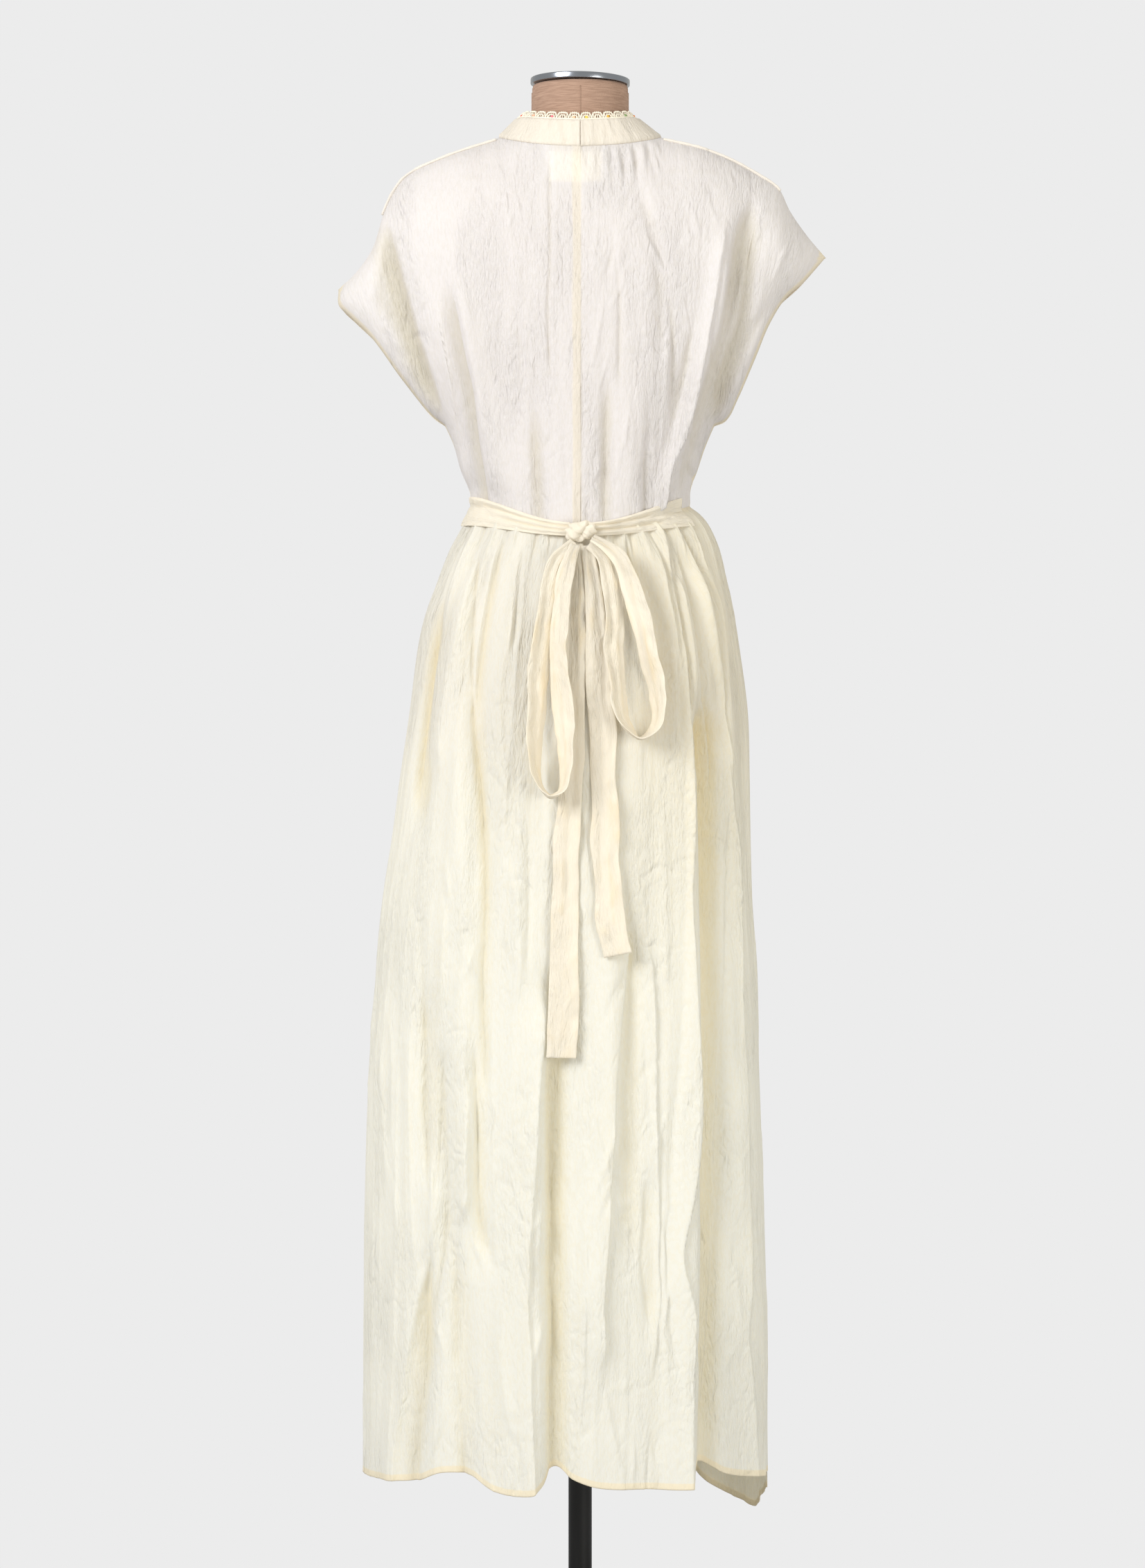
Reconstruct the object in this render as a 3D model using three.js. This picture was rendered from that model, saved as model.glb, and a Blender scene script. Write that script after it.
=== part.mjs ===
// A long crinkled cotton dress on a limbless dress form with a pole and a round base.
// Millimetres, +Z up, floor at z = 0 under the pole. The dress's back faces -Y, its front +Y,
// and +X is the wearer's right. "turn" is the angle round a skirt ring from the middle of its
// face, and "drop" is the distance below the waist seam.
import * as THREE from 'three';
import { mergeVertices } from 'three/addons/utils/BufferGeometryUtils.js';

const { clamp, lerp, smoothstep, degToRad } = THREE.MathUtils;

// ---- Driving dimensions ----
const BACK = -1;
const FRONT = 1;
const LEFT = -1;
const RIGHT = 1;
const SEAM_GAP = 0.3; // between two pieces that meet at a seam
const BAND_GAP = 0.6; // between the neckband and the panels, which meet it at an angle
const CLOTH = 1.6; // panel wall
const BAND_CLOTH = 2.0; // neckband, two layers
const SASH_CLOTH = 1.8;
const EASE = 5; // cloth outside to form, where the cloth lies close
const WAIST = { side: 1196, back: 1170 }; // height of the waist seam
const BODY_POWER = 2.15; // roundness of the bodice's level sections

// Level rings of the skirt, by the distance below the waist seam.
const SKIRT = [
  { drop: 0, left: 115, right: 117, back: 90, front: 94 },
  { drop: 12, left: 121, right: 130, back: 92, front: 97 },
  { drop: 24, left: 126, right: 138, back: 95, front: 101 },
  { drop: 46, left: 138, right: 147, back: 101, front: 107 },
  { drop: 80, left: 152, right: 155, back: 111, front: 113 },
  { drop: 115, left: 165, right: 164, back: 119, front: 118 },
  { drop: 150, left: 173, right: 170, back: 125, front: 121 },
  { drop: 219, left: 182, right: 179, back: 129, front: 125 },
  { drop: 288, left: 192, right: 181, back: 132, front: 128 },
  { drop: 356, left: 201, right: 182, back: 135, front: 131 },
  { drop: 425, left: 211, right: 184, back: 138, front: 134 },
  { drop: 495, left: 217, right: 189, back: 140, front: 136 },
  { drop: 600, left: 225, right: 191, back: 143, front: 139 },
  { drop: 744, left: 230, right: 196, back: 146, front: 143 },
  { drop: 870, left: 231, right: 199, back: 149, front: 146 },
  { drop: 1080, left: 232, right: 200, back: 152, front: 149 },
];

// Height of the hem across the back and across the front.
const HEM_BACK = [
  { x: -232, z: 168 },
  { x: -195, z: 170 },
  { x: -172, z: 173 },
  { x: -145, z: 184 },
  { x: -115, z: 183 },
  { x: -90, z: 168 },
  { x: -60, z: 166 },
  { x: -42, z: 176 },
  { x: -28, z: 194 },
  { x: -8, z: 182 },
  { x: 20, z: 173 },
  { x: 70, z: 171 },
  { x: 112, z: 172 },
  { x: 128, z: 194 },
  { x: 152, z: 180 },
  { x: 183, z: 171 },
  { x: 200, z: 168 },
];
const HEM_FRONT = [
  { x: -232, z: 168 },
  { x: -150, z: 160 },
  { x: -70, z: 168 },
  { x: 20, z: 160 },
  { x: 90, z: 166 },
  { x: 130, z: 150 },
  { x: 160, z: 128 },
  { x: 188, z: 121 },
  { x: 200, z: 150 },
];

// Heights that the columns of the fold tables stand for.
const SKIRT_LEVELS = { waist: 1150, hip: 990, thigh: 750, knee: 480, hem: 180 };
const BODICE_LEVELS = { waist: 1200, rib: 1280, chest: 1360, blade: 1440, top: 1520 };

// Folds: x at each level, half width, how far out the cloth moves (valleys are negative), how
// far the crest leans to +X, and the heights between which the fold runs.
const SKIRT_BACK_FOLDS = [
  { waist: -99, hip: -111, thigh: -97, knee: -108, hem: -96, width: 13, out: -9, upper: 1180, lower: 370 },
  { waist: -118, hip: -132, thigh: -124, knee: -128, hem: -126, width: 14, out: 5, upper: 1130, lower: 420 },
  { waist: -138, hip: -161, thigh: -176, knee: -180, hem: -184, width: 10, out: -8, upper: 1120, lower: 830 },
  { waist: -60, hip: -72, thigh: -66, knee: -72, hem: -72, width: 20, out: 6, upper: 1120, lower: 100 },
  { waist: -150, hip: -155, thigh: -160, knee: -159, hem: -162, width: 11, out: -9, upper: 700, lower: 250 },
  { waist: -130, hip: -135, thigh: -142, knee: -138, hem: -140, width: 9, out: -5, upper: 640, lower: 380 },
  { waist: -150, hip: -160, thigh: -165, knee: -172, hem: -194, width: 12, out: -9, upper: 420, lower: 60 },
  { waist: -110, hip: -118, thigh: -120, knee: -124, hem: -121, width: 12, out: -9, upper: 430, lower: 60 },
  { waist: -40, hip: -42, thigh: -40, knee: -50, hem: -50, width: 14, out: 8, lean: 4, upper: 700, lower: 60 },
  { waist: -30, hip: -30, thigh: -31, knee: -29, hem: -29, width: 11, out: -18, upper: 730, lower: 40 },
  { waist: 20, hip: 21, thigh: 21, knee: 13, hem: 10, width: 18, out: 6, upper: 790, lower: 240 },
  { waist: 45, hip: 46, thigh: 47, knee: 46, hem: 44, width: 13, out: -7, upper: 780, lower: 420 },
  { waist: 60, hip: 66, thigh: 70, knee: 74, hem: 78, width: 9, out: -6, upper: 520, lower: 300 },
  { waist: 78, hip: 104, thigh: 112, knee: 114, hem: 116, width: 15, out: 12, lean: 7, upper: 1170, lower: 40 },
  { waist: 92, hip: 121, thigh: 134, knee: 136, hem: 130, width: 12, out: -17, upper: 1000, lower: 40 },
  { waist: 112, hip: 134, thigh: 148, knee: 156, hem: 156, width: 12, out: 6, upper: 1160, lower: 420 },
  { waist: 126, hip: 146, thigh: 162, knee: 175, hem: 182, width: 12, out: 7, lean: 2, upper: 1150, lower: 60 },
  { waist: 119, hip: 139, thigh: 154, knee: 165, hem: 170, width: 8, out: -7, upper: 1150, lower: 560 },
];
const SKIRT_FRONT_FOLDS = [
  { waist: -112, hip: -148, thigh: -178, knee: -190, hem: -192, width: 13, out: -10, upper: 1170, lower: 80 },
  { waist: -92, hip: -122, thigh: -140, knee: -150, hem: -156, width: 18, out: 10, lean: -6, upper: 1160, lower: 60 },
  { waist: -66, hip: -86, thigh: -96, knee: -100, hem: -106, width: 13, out: -13, upper: 1100, lower: 60 },
  { waist: -38, hip: -46, thigh: -52, knee: -58, hem: -64, width: 18, out: 9, upper: 1140, lower: 120 },
  { waist: -12, hip: -12, thigh: -14, knee: -16, hem: -20, width: 13, out: -11, upper: 880, lower: 60 },
  { waist: 16, hip: 20, thigh: 24, knee: 26, hem: 24, width: 18, out: 9, lean: 5, upper: 1150, lower: 60 },
  { waist: 40, hip: 52, thigh: 60, knee: 62, hem: 66, width: 12, out: -14, upper: 1020, lower: 60 },
  { waist: 70, hip: 88, thigh: 98, knee: 104, hem: 108, width: 18, out: 9, upper: 1160, lower: 300 },
  { waist: 94, hip: 116, thigh: 130, knee: 138, hem: 140, width: 12, out: -10, upper: 900, lower: 60 },
  { waist: 110, hip: 138, thigh: 152, knee: 164, hem: 172, width: 14, out: 7, upper: 1150, lower: 60 },
];
const BODICE_BACK_FOLDS = [
  { waist: -99, rib: -109, chest: -127, blade: -145, top: -160, width: 8, out: -8, upper: 1470, lower: 1170 },
  { waist: -84, rib: -96, chest: -112, blade: -128, top: -140, width: 12, out: 5, upper: 1440, lower: 1180 },
  { waist: -120, rib: -140, chest: -168, blade: -190, top: -204, width: 11, out: -8, upper: 1510, lower: 1270 },
  { waist: -150, rib: -178, chest: -202, blade: -212, top: -220, width: 7, out: -5, upper: 1450, lower: 1340 },
  { waist: -44, rib: -45, chest: -46, blade: -47, top: -48, width: 9, out: -4, upper: 1310, lower: 1150 },
  { waist: 28, rib: 27, chest: 28, blade: 30, top: 30, width: 10, out: -3.5, upper: 1340, lower: 1150 },
  { waist: 56, rib: 54, chest: 56, blade: 58, top: 60, width: 13, out: 4, upper: 1330, lower: 1150 },
  { waist: 74, rib: 76, chest: 84, blade: 84, top: 64, width: 8, out: -4, upper: 1540, lower: 1330 },
  { waist: 87, rib: 107, chest: 136, blade: 147, top: 152, width: 9, out: 8, upper: 1480, lower: 1170 },
  { waist: 100, rib: 121, chest: 143, blade: 164, top: 182, width: 8, out: -9, upper: 1530, lower: 1190 },
  { waist: 120, rib: 141, chest: 173, blade: 224, top: 250, width: 9, out: -6, upper: 1440, lower: 1270 },
];
const BODICE_FRONT_FOLDS = [
  { waist: -98, rib: -112, chest: -132, blade: -150, top: -160, width: 10, out: -7, upper: 1500, lower: 1180 },
  { waist: -62, rib: -70, chest: -84, blade: -90, top: -92, width: 14, out: 5, upper: 1420, lower: 1160 },
  { waist: -28, rib: -34, chest: -44, blade: -56, top: -60, width: 10, out: -5, upper: 1380, lower: 1160 },
  { waist: 24, rib: 28, chest: 38, blade: 52, top: 60, width: 11, out: -5, upper: 1400, lower: 1160 },
  { waist: 58, rib: 66, chest: 80, blade: 88, top: 92, width: 14, out: 5, upper: 1400, lower: 1160 },
  { waist: 96, rib: 114, chest: 138, blade: 156, top: 170, width: 10, out: -7, upper: 1500, lower: 1180 },
];

// Small gathers sewn into the waist seam and under the neckband. Those of the waist are full
// height at one drop, and at another only a share of it is left.
const WAIST_GATHERS = { count: 18, out: 3.2, full: 70, fade: 420, left: 0.25 };
const NECK_GATHERS = { from: 6, to: 84, count: 7, out: 1.3, length: 60 };

// Outline of one side of the bodice: shoulder and sleeve top from the neck outward, sleeve mouth
// from the underarm to the tip, and side seam from the waist to the underarm.
const OUTLINE = {
  [LEFT]: {
    shoulder: [
      { x: -86, z: 1588 },
      { x: -116, z: 1578 },
      { x: -146, z: 1567 },
      { x: -184, z: 1549 },
      { x: -197, z: 1533 },
      { x: -208, z: 1510 },
      { x: -221, z: 1471 },
      { x: -237, z: 1448 },
      { x: -258, z: 1428 },
    ],
    mouth: [
      { x: -144, z: 1282 },
      { x: -159, z: 1293 },
      { x: -189, z: 1329 },
      { x: -221, z: 1373 },
      { x: -243, z: 1395 },
      { x: -257, z: 1410 },
      { x: -258, z: 1428 },
    ],
    side: [
      { x: -115, z: 1196 },
      { x: -116, z: 1212 },
      { x: -127, z: 1235 },
      { x: -135, z: 1262 },
      { x: -144, z: 1282 },
    ],
  },
  [RIGHT]: {
    shoulder: [
      { x: 86, z: 1588 },
      { x: 131, z: 1577 },
      { x: 162, z: 1565 },
      { x: 191, z: 1549 },
      { x: 211, z: 1535 },
      { x: 224, z: 1510 },
      { x: 242, z: 1485 },
      { x: 262, z: 1462 },
    ],
    mouth: [
      { x: 143, z: 1282 },
      { x: 157, z: 1289 },
      { x: 168, z: 1310 },
      { x: 186, z: 1352 },
      { x: 200, z: 1386 },
      { x: 217, z: 1414 },
      { x: 238, z: 1434 },
      { x: 262, z: 1462 },
    ],
    side: [
      { x: 117, z: 1196 },
      { x: 117, z: 1212 },
      { x: 125, z: 1234 },
      { x: 133, z: 1258 },
      { x: 143, z: 1282 },
    ],
  },
};

// Depth of the bodice at its middle line.
const BODICE_DEPTH = [
  { z: 1170, back: 90, front: 94 },
  { z: 1196, back: 90, front: 94 },
  { z: 1230, back: 91, front: 99 },
  { z: 1290, back: 96, front: 112 },
  { z: 1360, back: 101, front: 122 },
  { z: 1430, back: 103, front: 116 },
  { z: 1480, back: 98, front: 104 },
  { z: 1520, back: 88, front: 92 },
  { z: 1550, back: 76, front: 76 },
  { z: 1575, back: 66, front: 60 },
  { z: 1600, back: 62, front: 56 },
];
const UNDERARM_ROW = 0.3; // share of a panel's height that its side seam takes
const SLEEVE_MOUTH = 34; // half the opening of the sleeve, front to back
const SEAM_DEPTH = { neck: 14, shoulder: 11, tip: 0 }; // shoulder seam lies behind the middle
const CROWN = { neck: 95, shoulder: 80, sleeve: 42 }; // height in which the cloth rounds over

// Neckline on the +X side, where the neckband is sewn on: round the back, then down the V.
const NECKLINE_BACK = [
  { x: 0, y: -67, z: 1571 },
  { x: 44, y: -57, z: 1575 },
  { x: 73, y: -37, z: 1582 },
  { x: 86, y: -14, z: 1588 },
];
const NECKLINE_FRONT = [
  { x: 86, z: 1588 },
  { x: 83, z: 1577 },
  { x: 69, z: 1541 },
  { x: 48, z: 1499 },
  { x: 24, z: 1456 },
  { x: 0, z: 1422 },
];
// Free edge of the neckband, opposite the rows above. It leans in further on the right.
const BAND_EDGE_BACK = [
  { left: 0, right: 0, y: -60, z: 1600 },
  { left: 38, right: 36, y: -50, z: 1603 },
  { left: 59, right: 54, y: -31, z: 1607 },
  { left: 67, right: 60, y: -9, z: 1609 },
];
const BAND_EDGE_FRONT = [
  { left: 67, right: 60, z: 1609, lift: 1 },
  { left: 60, right: 58, z: 1588, lift: 2 },
  { left: 45, right: 45, z: 1553, lift: 2 },
  { left: 25, right: 25, z: 1514, lift: 2 },
  { left: 9, right: 9, z: 1487, lift: 2 },
  { left: 0, right: 0, z: 1473, lift: 2 },
];
const TRIM = { pitch: 13, dip: 3, peak: 7, cloth: 1.4 };
const LABEL = { from: -29, to: 22, upper: 0.985, lower: 0.9, off: 0.6, cloth: 0.8 };
const SHOULDER_SEAM = { radius: 1.5, sides: 6, steps: 16, reach: 0.62 };

// Level sections of the dress form: half width, depth to the back and to the front.
const FORM = [
  { z: 906, wide: 112, back: 66, front: 62, power: 2.1 },
  { z: 916, wide: 136, back: 84, front: 78, power: 2.1 },
  { z: 945, wide: 152, back: 97, front: 90, power: 2.1 },
  { z: 990, wide: 157, back: 103, front: 94, power: 2.1 },
  { z: 1050, wide: 149, back: 99, front: 90, power: 2.1 },
  { z: 1110, wide: 124, back: 87, front: 84, power: 2.1 },
  { z: 1160, wide: 106, back: 76, front: 78, power: 2.1 },
  { z: 1190, wide: 103, back: 74, front: 78, power: 2.1 },
  { z: 1230, wide: 108, back: 76, front: 84, power: 2.1 },
  { z: 1290, wide: 127, back: 82, front: 100, power: 2.1 },
  { z: 1350, wide: 141, back: 88, front: 111, power: 2.1 },
  { z: 1400, wide: 151, back: 91, front: 108, power: 2.1 },
  { z: 1450, wide: 163, back: 90, front: 97, power: 2.1 },
  { z: 1490, wide: 173, back: 84, front: 84, power: 2.1 },
  { z: 1522, wide: 179, back: 74, front: 70, power: 2.1 },
  { z: 1543, wide: 177, back: 62, front: 56, power: 2.1 },
  { z: 1555, wide: 162, back: 56, front: 50, power: 2 },
  { z: 1565, wide: 140, back: 53, front: 50, power: 1.8 },
  { z: 1574, wide: 112, back: 51, front: 50, power: 1.6 },
  { z: 1581, wide: 80, back: 50, front: 50, power: 1.6 },
  { z: 1589, wide: 61, back: 50, front: 50, power: 1.8 },
  { z: 1600, wide: 53, back: 50, front: 50, power: 2 },
  { z: 1645, wide: 51, back: 50, front: 50, power: 2 },
];
const CAP = { radius: 53, height: 7, tilt: 1 };
const POLE = { radius: 12.5, foot: 24 };
const BASE = { radius: 170, edge: 6, height: 12, crown: 18, hub: 32 };

// Sash ribbons at the back: centre line, distance off the skirt, yaw of the width, and width.
const SASH = { sideZ: 1190, backZ: 1166, sideHalf: 15.5, backHalf: 7, off: 0.8, flare: 0.17, rise: 6.4 };
const SASH_ENDS = { left: -84, right: 63, knot: 6.3 }; // degrees at the seams, and at the knot
const KNOT = { x: 0.5, z: 1163.5, wide: 29, high: 25, deep: 16, off: 1.5 };
const LOOP_LEFT = [
  { x: -8, z: 1153.5, off: 12.5, yaw: 10, width: 8 },
  { x: -23, z: 1132, off: 14, yaw: 25, width: 19 },
  { x: -34, z: 1085, off: 15, yaw: 35, width: 25 },
  { x: -43, z: 1030, off: 15, yaw: 38, width: 26 },
  { x: -46, z: 980, off: 15, yaw: 45, width: 28 },
  { x: -47, z: 930, off: 20, yaw: 60, width: 28 },
  { x: -43, z: 902, off: 22, yaw: 78, width: 28 },
  { x: -31, z: 887, off: 23, yaw: 92, width: 28 },
  { x: -18, z: 897, off: 23, yaw: 105, width: 28 },
  { x: -15, z: 935, off: 22, yaw: 125, width: 28 },
  { x: -18, z: 985, off: 17, yaw: 138, width: 27 },
  { x: -22, z: 1030, off: 17, yaw: 143, width: 25 },
  { x: -22, z: 1080, off: 18, yaw: 148, width: 22 },
  { x: -14, z: 1122, off: 19, yaw: 160, width: 18 },
  { x: -4, z: 1149, off: 15, yaw: 170, width: 11 },
];
const LOOP_RIGHT = [
  { x: 9, z: 1150, off: 10.5, yaw: 0, width: 12 },
  { x: 26, z: 1136, off: 12, yaw: 15, width: 20 },
  { x: 34, z: 1100, off: 14, yaw: 30, width: 23 },
  { x: 36, z: 1040, off: 14, yaw: 35, width: 24 },
  { x: 38, z: 1000, off: 15, yaw: 45, width: 26 },
  { x: 44, z: 968, off: 16, yaw: 65, width: 30 },
  { x: 61, z: 948, off: 17, yaw: 88, width: 30 },
  { x: 77, z: 958, off: 17, yaw: 108, width: 30 },
  { x: 80, z: 990, off: 18, yaw: 125, width: 28 },
  { x: 74, z: 1024, off: 20, yaw: 138, width: 26 },
  { x: 64, z: 1062, off: 23, yaw: 145, width: 24 },
  { x: 53, z: 1100, off: 26, yaw: 150, width: 22 },
  { x: 40, z: 1134, off: 27, yaw: 158, width: 18 },
  { x: 13, z: 1157, off: 17, yaw: 168, width: 8 },
];
const TAIL_LEFT = [
  { x: -4, z: 1151, off: 5, yaw: 0, width: 11 },
  { x: -5, z: 1100, off: 3.5, yaw: -4, width: 22 },
  { x: -6, z: 1040, off: 3.5, yaw: 6, width: 25 },
  { x: -7, z: 980, off: 3.5, yaw: -4, width: 24 },
  { x: -8, z: 920, off: 4, yaw: 4, width: 25 },
  { x: -13, z: 850, off: 4, yaw: -5, width: 27 },
  { x: -17, z: 780, off: 4, yaw: 5, width: 28 },
  { x: -18, z: 710, off: 6, yaw: -4, width: 29 },
  { x: -19, z: 660, off: 7, yaw: 3, width: 30 },
  { x: -20, z: 617, off: 8, yaw: 0, width: 30 },
];
const TAIL_RIGHT = [
  { x: 8, z: 1149, off: 6.5, yaw: 0, width: 12 },
  { x: 15, z: 1090, off: 7, yaw: 5, width: 20 },
  { x: 19, z: 1030, off: 6, yaw: -4, width: 25 },
  { x: 22, z: 970, off: 4.5, yaw: 5, width: 27 },
  { x: 24, z: 900, off: 4, yaw: -4, width: 28 },
  { x: 26, z: 840, off: 4.5, yaw: 4, width: 29 },
  { x: 29, z: 780, off: 5, yaw: -3, width: 29 },
  { x: 39, z: 723, off: 5, yaw: 0, width: 29 },
];

// ---- Grid sizes ----
const SKIRT_BACK_GRID = { across: 74, down: 13 };
const SKIRT_FRONT_GRID = { across: 48, down: 11 };
const BODICE_ROWS = 12;
const NECK_STEPS = { plain: 6, gathered: 18, vee: 6 };
const SLEEVE_STEPS = 10;
const FORM_SIDES = 26;

// ---- Materials ----
const finish = (color, roughness, metalness = 0) =>
  new THREE.MeshStandardMaterial({ color, roughness, metalness });
const COTTON = finish(0xf6f1e0, 0.9);
const SASH_COTTON = finish(0xf8f1da, 0.9);
const CROCHET = finish(0xf3ecd8, 0.95);
const LABEL_SATIN = finish(0xf4efe2, 0.6);
const LINEN = finish(0xa58c7a, 0.95);
const CHROME = finish(0xd0d2d4, 0.15, 1);
const BLACK_STEEL = finish(0x1c1c1c, 0.45, 0.6);

// ---- Reading the tables ----

// The value of a column at a place along the key column, on a smooth line through the rows.
function read(table, key, column, place) {
  const count = table.length;
  const way = Math.sign(table[count - 1][key] - table[0][key]);
  const spot = (i) => table[clamp(i, 0, count - 1)][key] * way;
  const value = (i) => table[clamp(i, 0, count - 1)][column];
  const at = clamp(place * way, spot(0), spot(count - 1));
  let i = 0;
  while (i < count - 2 && spot(i + 1) < at) i += 1;
  const span = spot(i + 1) - spot(i);
  const slope = (k) => (value(k + 1) - value(k - 1)) / Math.max(spot(k + 1) - spot(k - 1), 1e-6);
  const t = (at - spot(i)) / span;
  const a = 2 * t ** 3 - 3 * t ** 2 + 1;
  const b = t ** 3 - 2 * t ** 2 + t;
  const c = -2 * t ** 3 + 3 * t ** 2;
  const d = t ** 3 - t ** 2;
  return a * value(i) + b * span * slope(i) + c * value(i + 1) + d * span * slope(i + 1);
}

// A fold's x at each named height, as rows that read() takes.
const withLine = (levels) => (fold) => ({
  ...fold,
  line: Object.entries(levels).map(([name, z]) => ({ z, x: fold[name] })),
});

const FOLDS = {
  skirt: {
    [BACK]: SKIRT_BACK_FOLDS.map(withLine(SKIRT_LEVELS)),
    [FRONT]: SKIRT_FRONT_FOLDS.map(withLine(SKIRT_LEVELS)),
  },
  bodice: {
    [BACK]: BODICE_BACK_FOLDS.map(withLine(BODICE_LEVELS)),
    [FRONT]: BODICE_FRONT_FOLDS.map(withLine(BODICE_LEVELS)),
  },
};

// How far the folds move a point out of the cloth's smooth form, and to +X along it.
function foldMove(folds, x, z, soft) {
  let out = 0;
  let along = 0;
  for (const fold of folds) {
    const near = (x - read(fold.line, 'z', 'x', z)) / fold.width;
    if (Math.abs(near) > 3) continue;
    const begins = 1 - smoothstep(z, fold.upper - soft, fold.upper);
    const ends = smoothstep(z, fold.lower, fold.lower + soft);
    const size = Math.exp(-near * near) * begins * ends;
    out += fold.out * size;
    along += (fold.lean ?? 0) * size;
  }
  return { out, along };
}

// A smooth curve through the rows of a table, as a function of the share of its length.
function curveOf(rows) {
  const points = rows.map((row) => new THREE.Vector3(row.x, row.y ?? 0, row.z));
  const curve = new THREE.CatmullRomCurve3(points, false, 'centripetal');
  curve.arcLengthDivisions = 400;
  return (share) => curve.getPointAt(clamp(share, 0, 1));
}

const evenly = (steps, from = 0, to = 1) =>
  Array.from({ length: steps + 1 }, (_, i) => lerp(from, to, i / steps));

// ---- Solids from grids of points ----

// A closed mesh from an outer and an inner grid of points, joined round their edges.
function shell(outer, inner) {
  const rows = outer.length;
  const columns = outer[0].length;
  const points = [...outer.flat(), ...inner.flat()];
  const half = rows * columns;
  const faces = [];
  const quad = (a, b, c, d) => faces.push(a, b, c, a, c, d);
  const id = (r, c) => r * columns + c;
  for (let r = 0; r < rows - 1; r += 1) {
    for (let c = 0; c < columns - 1; c += 1) {
      quad(id(r, c), id(r + 1, c), id(r + 1, c + 1), id(r, c + 1));
      quad(half + id(r, c), half + id(r, c + 1), half + id(r + 1, c + 1), half + id(r + 1, c));
    }
  }
  const rim = [
    ...evenly(columns - 1, 0, columns - 1).map((c) => id(0, c)),
    ...evenly(rows - 1, 0, rows - 1).map((r) => id(r, columns - 1)).slice(1),
    ...evenly(columns - 1, columns - 1, 0).map((c) => id(rows - 1, c)).slice(1),
    ...evenly(rows - 1, rows - 1, 0).map((r) => id(r, 0)).slice(1),
  ].map(Math.round);
  for (let k = 0; k < rim.length - 1; k += 1) {
    quad(rim[k], rim[k + 1], half + rim[k + 1], half + rim[k]);
  }
  return facingOut(points, faces);
}

// A geometry from points and triangles, turned so that its faces point out.
function facingOut(points, faces) {
  let volume = 0;
  const cross = new THREE.Vector3();
  for (let k = 0; k < faces.length; k += 3) {
    cross.crossVectors(points[faces[k + 1]], points[faces[k + 2]]);
    volume += points[faces[k]].dot(cross);
  }
  if (volume < 0) faces.reverse();
  const geometry = new THREE.BufferGeometry();
  geometry.setFromPoints(points);
  geometry.setIndex(faces);
  geometry.computeVertexNormals();
  return geometry;
}

// Normals of a grid of points. lock(row, column) names the axes that a seam's normals leave
// out, so that two walls that meet there stay their gap apart all through.
function gridNormals(points, side, lock = () => '') {
  const rows = points.length;
  const columns = points[0].length;
  const row = (r) => clamp(r, 0, rows - 1);
  const column = (c) => clamp(c, 0, columns - 1);
  return points.map((line, r) =>
    line.map((point, c) => {
      const down = points[row(r + 1)][c].clone().sub(points[row(r - 1)][c]);
      const across = line[column(c + 1)].clone().sub(line[column(c - 1)]);
      const normal = down.cross(across).normalize().multiplyScalar(side);
      for (const axis of lock(r, c)) normal[axis] = 0;
      return normal.normalize();
    }),
  );
}

const moved = (points, normals, distance) =>
  points.map((line, r) =>
    line.map((point, c) => point.clone().addScaledVector(normals[r][c], distance)),
  );

function wall(points, normals, thickness) {
  return shell(points, moved(points, normals, -thickness));
}

// A closed body from level rings of points, with a flat fan at both ends.
function ringBody(rings) {
  const sides = rings[0].length;
  const points = rings.flat();
  const faces = [];
  for (let r = 0; r < rings.length - 1; r += 1) {
    for (let c = 0; c < sides; c += 1) {
      const next = (c + 1) % sides;
      faces.push(r * sides + c, r * sides + next, (r + 1) * sides + next);
      faces.push(r * sides + c, (r + 1) * sides + next, (r + 1) * sides + c);
    }
  }
  const last = (rings.length - 1) * sides;
  for (let c = 1; c < sides - 1; c += 1) {
    faces.push(0, c + 1, c);
    faces.push(last, last + c, last + c + 1);
  }
  return facingOut(points, faces);
}

// A ribbon along rows of centre, width direction and thickness direction.
function ribbon(rows, thickness, crease = 0) {
  const outer = [];
  const inner = [];
  for (const { centre, wide, out, width } of rows) {
    const edge = [-0.5, -0.18, 0.18, 0.5];
    const rise = [0, crease, crease * 0.6, 0];
    const line = edge.map((share, i) =>
      centre.clone().addScaledVector(wide, share * width).addScaledVector(out, rise[i]));
    outer.push(line.map((point) => point.clone().addScaledVector(out, thickness / 2)));
    inner.push(line.map((point) => point.clone().addScaledVector(out, -thickness / 2)));
  }
  return shell(outer, inner);
}

// ---- Dress form ----

const formSpan = (face) => (face === BACK ? 'back' : 'front');

// Depth of the dress form at a place across and up its back or front.
function formDepth(face, x, z) {
  const wide = read(FORM, 'z', 'wide', z);
  const share = Math.abs(x) / wide;
  if (share >= 1) return -Infinity;
  const power = read(FORM, 'z', 'power', z);
  return read(FORM, 'z', formSpan(face), z) * (1 - share ** power) ** (1 / power);
}

// Depth that keeps the cloth's outer face clear of the form, above it as well as beside it.
const clearDepth = (face, x, z) =>
  EASE + Math.max(formDepth(face, x, z), formDepth(face, x, z - EASE));

function formBody() {
  const rings = FORM.map(({ z, wide, back, front, power }) =>
    evenly(FORM_SIDES).slice(0, -1).map((share) => {
      const angle = share * 2 * Math.PI;
      const [c, s] = [Math.cos(angle), Math.sin(angle)];
      const round = (Math.abs(c) ** power + Math.abs(s) ** power) ** (-1 / power);
      return new THREE.Vector3(wide * c * round, (s < 0 ? back : front) * s * round, z);
    }),
  );
  return ringBody(rings);
}

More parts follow.
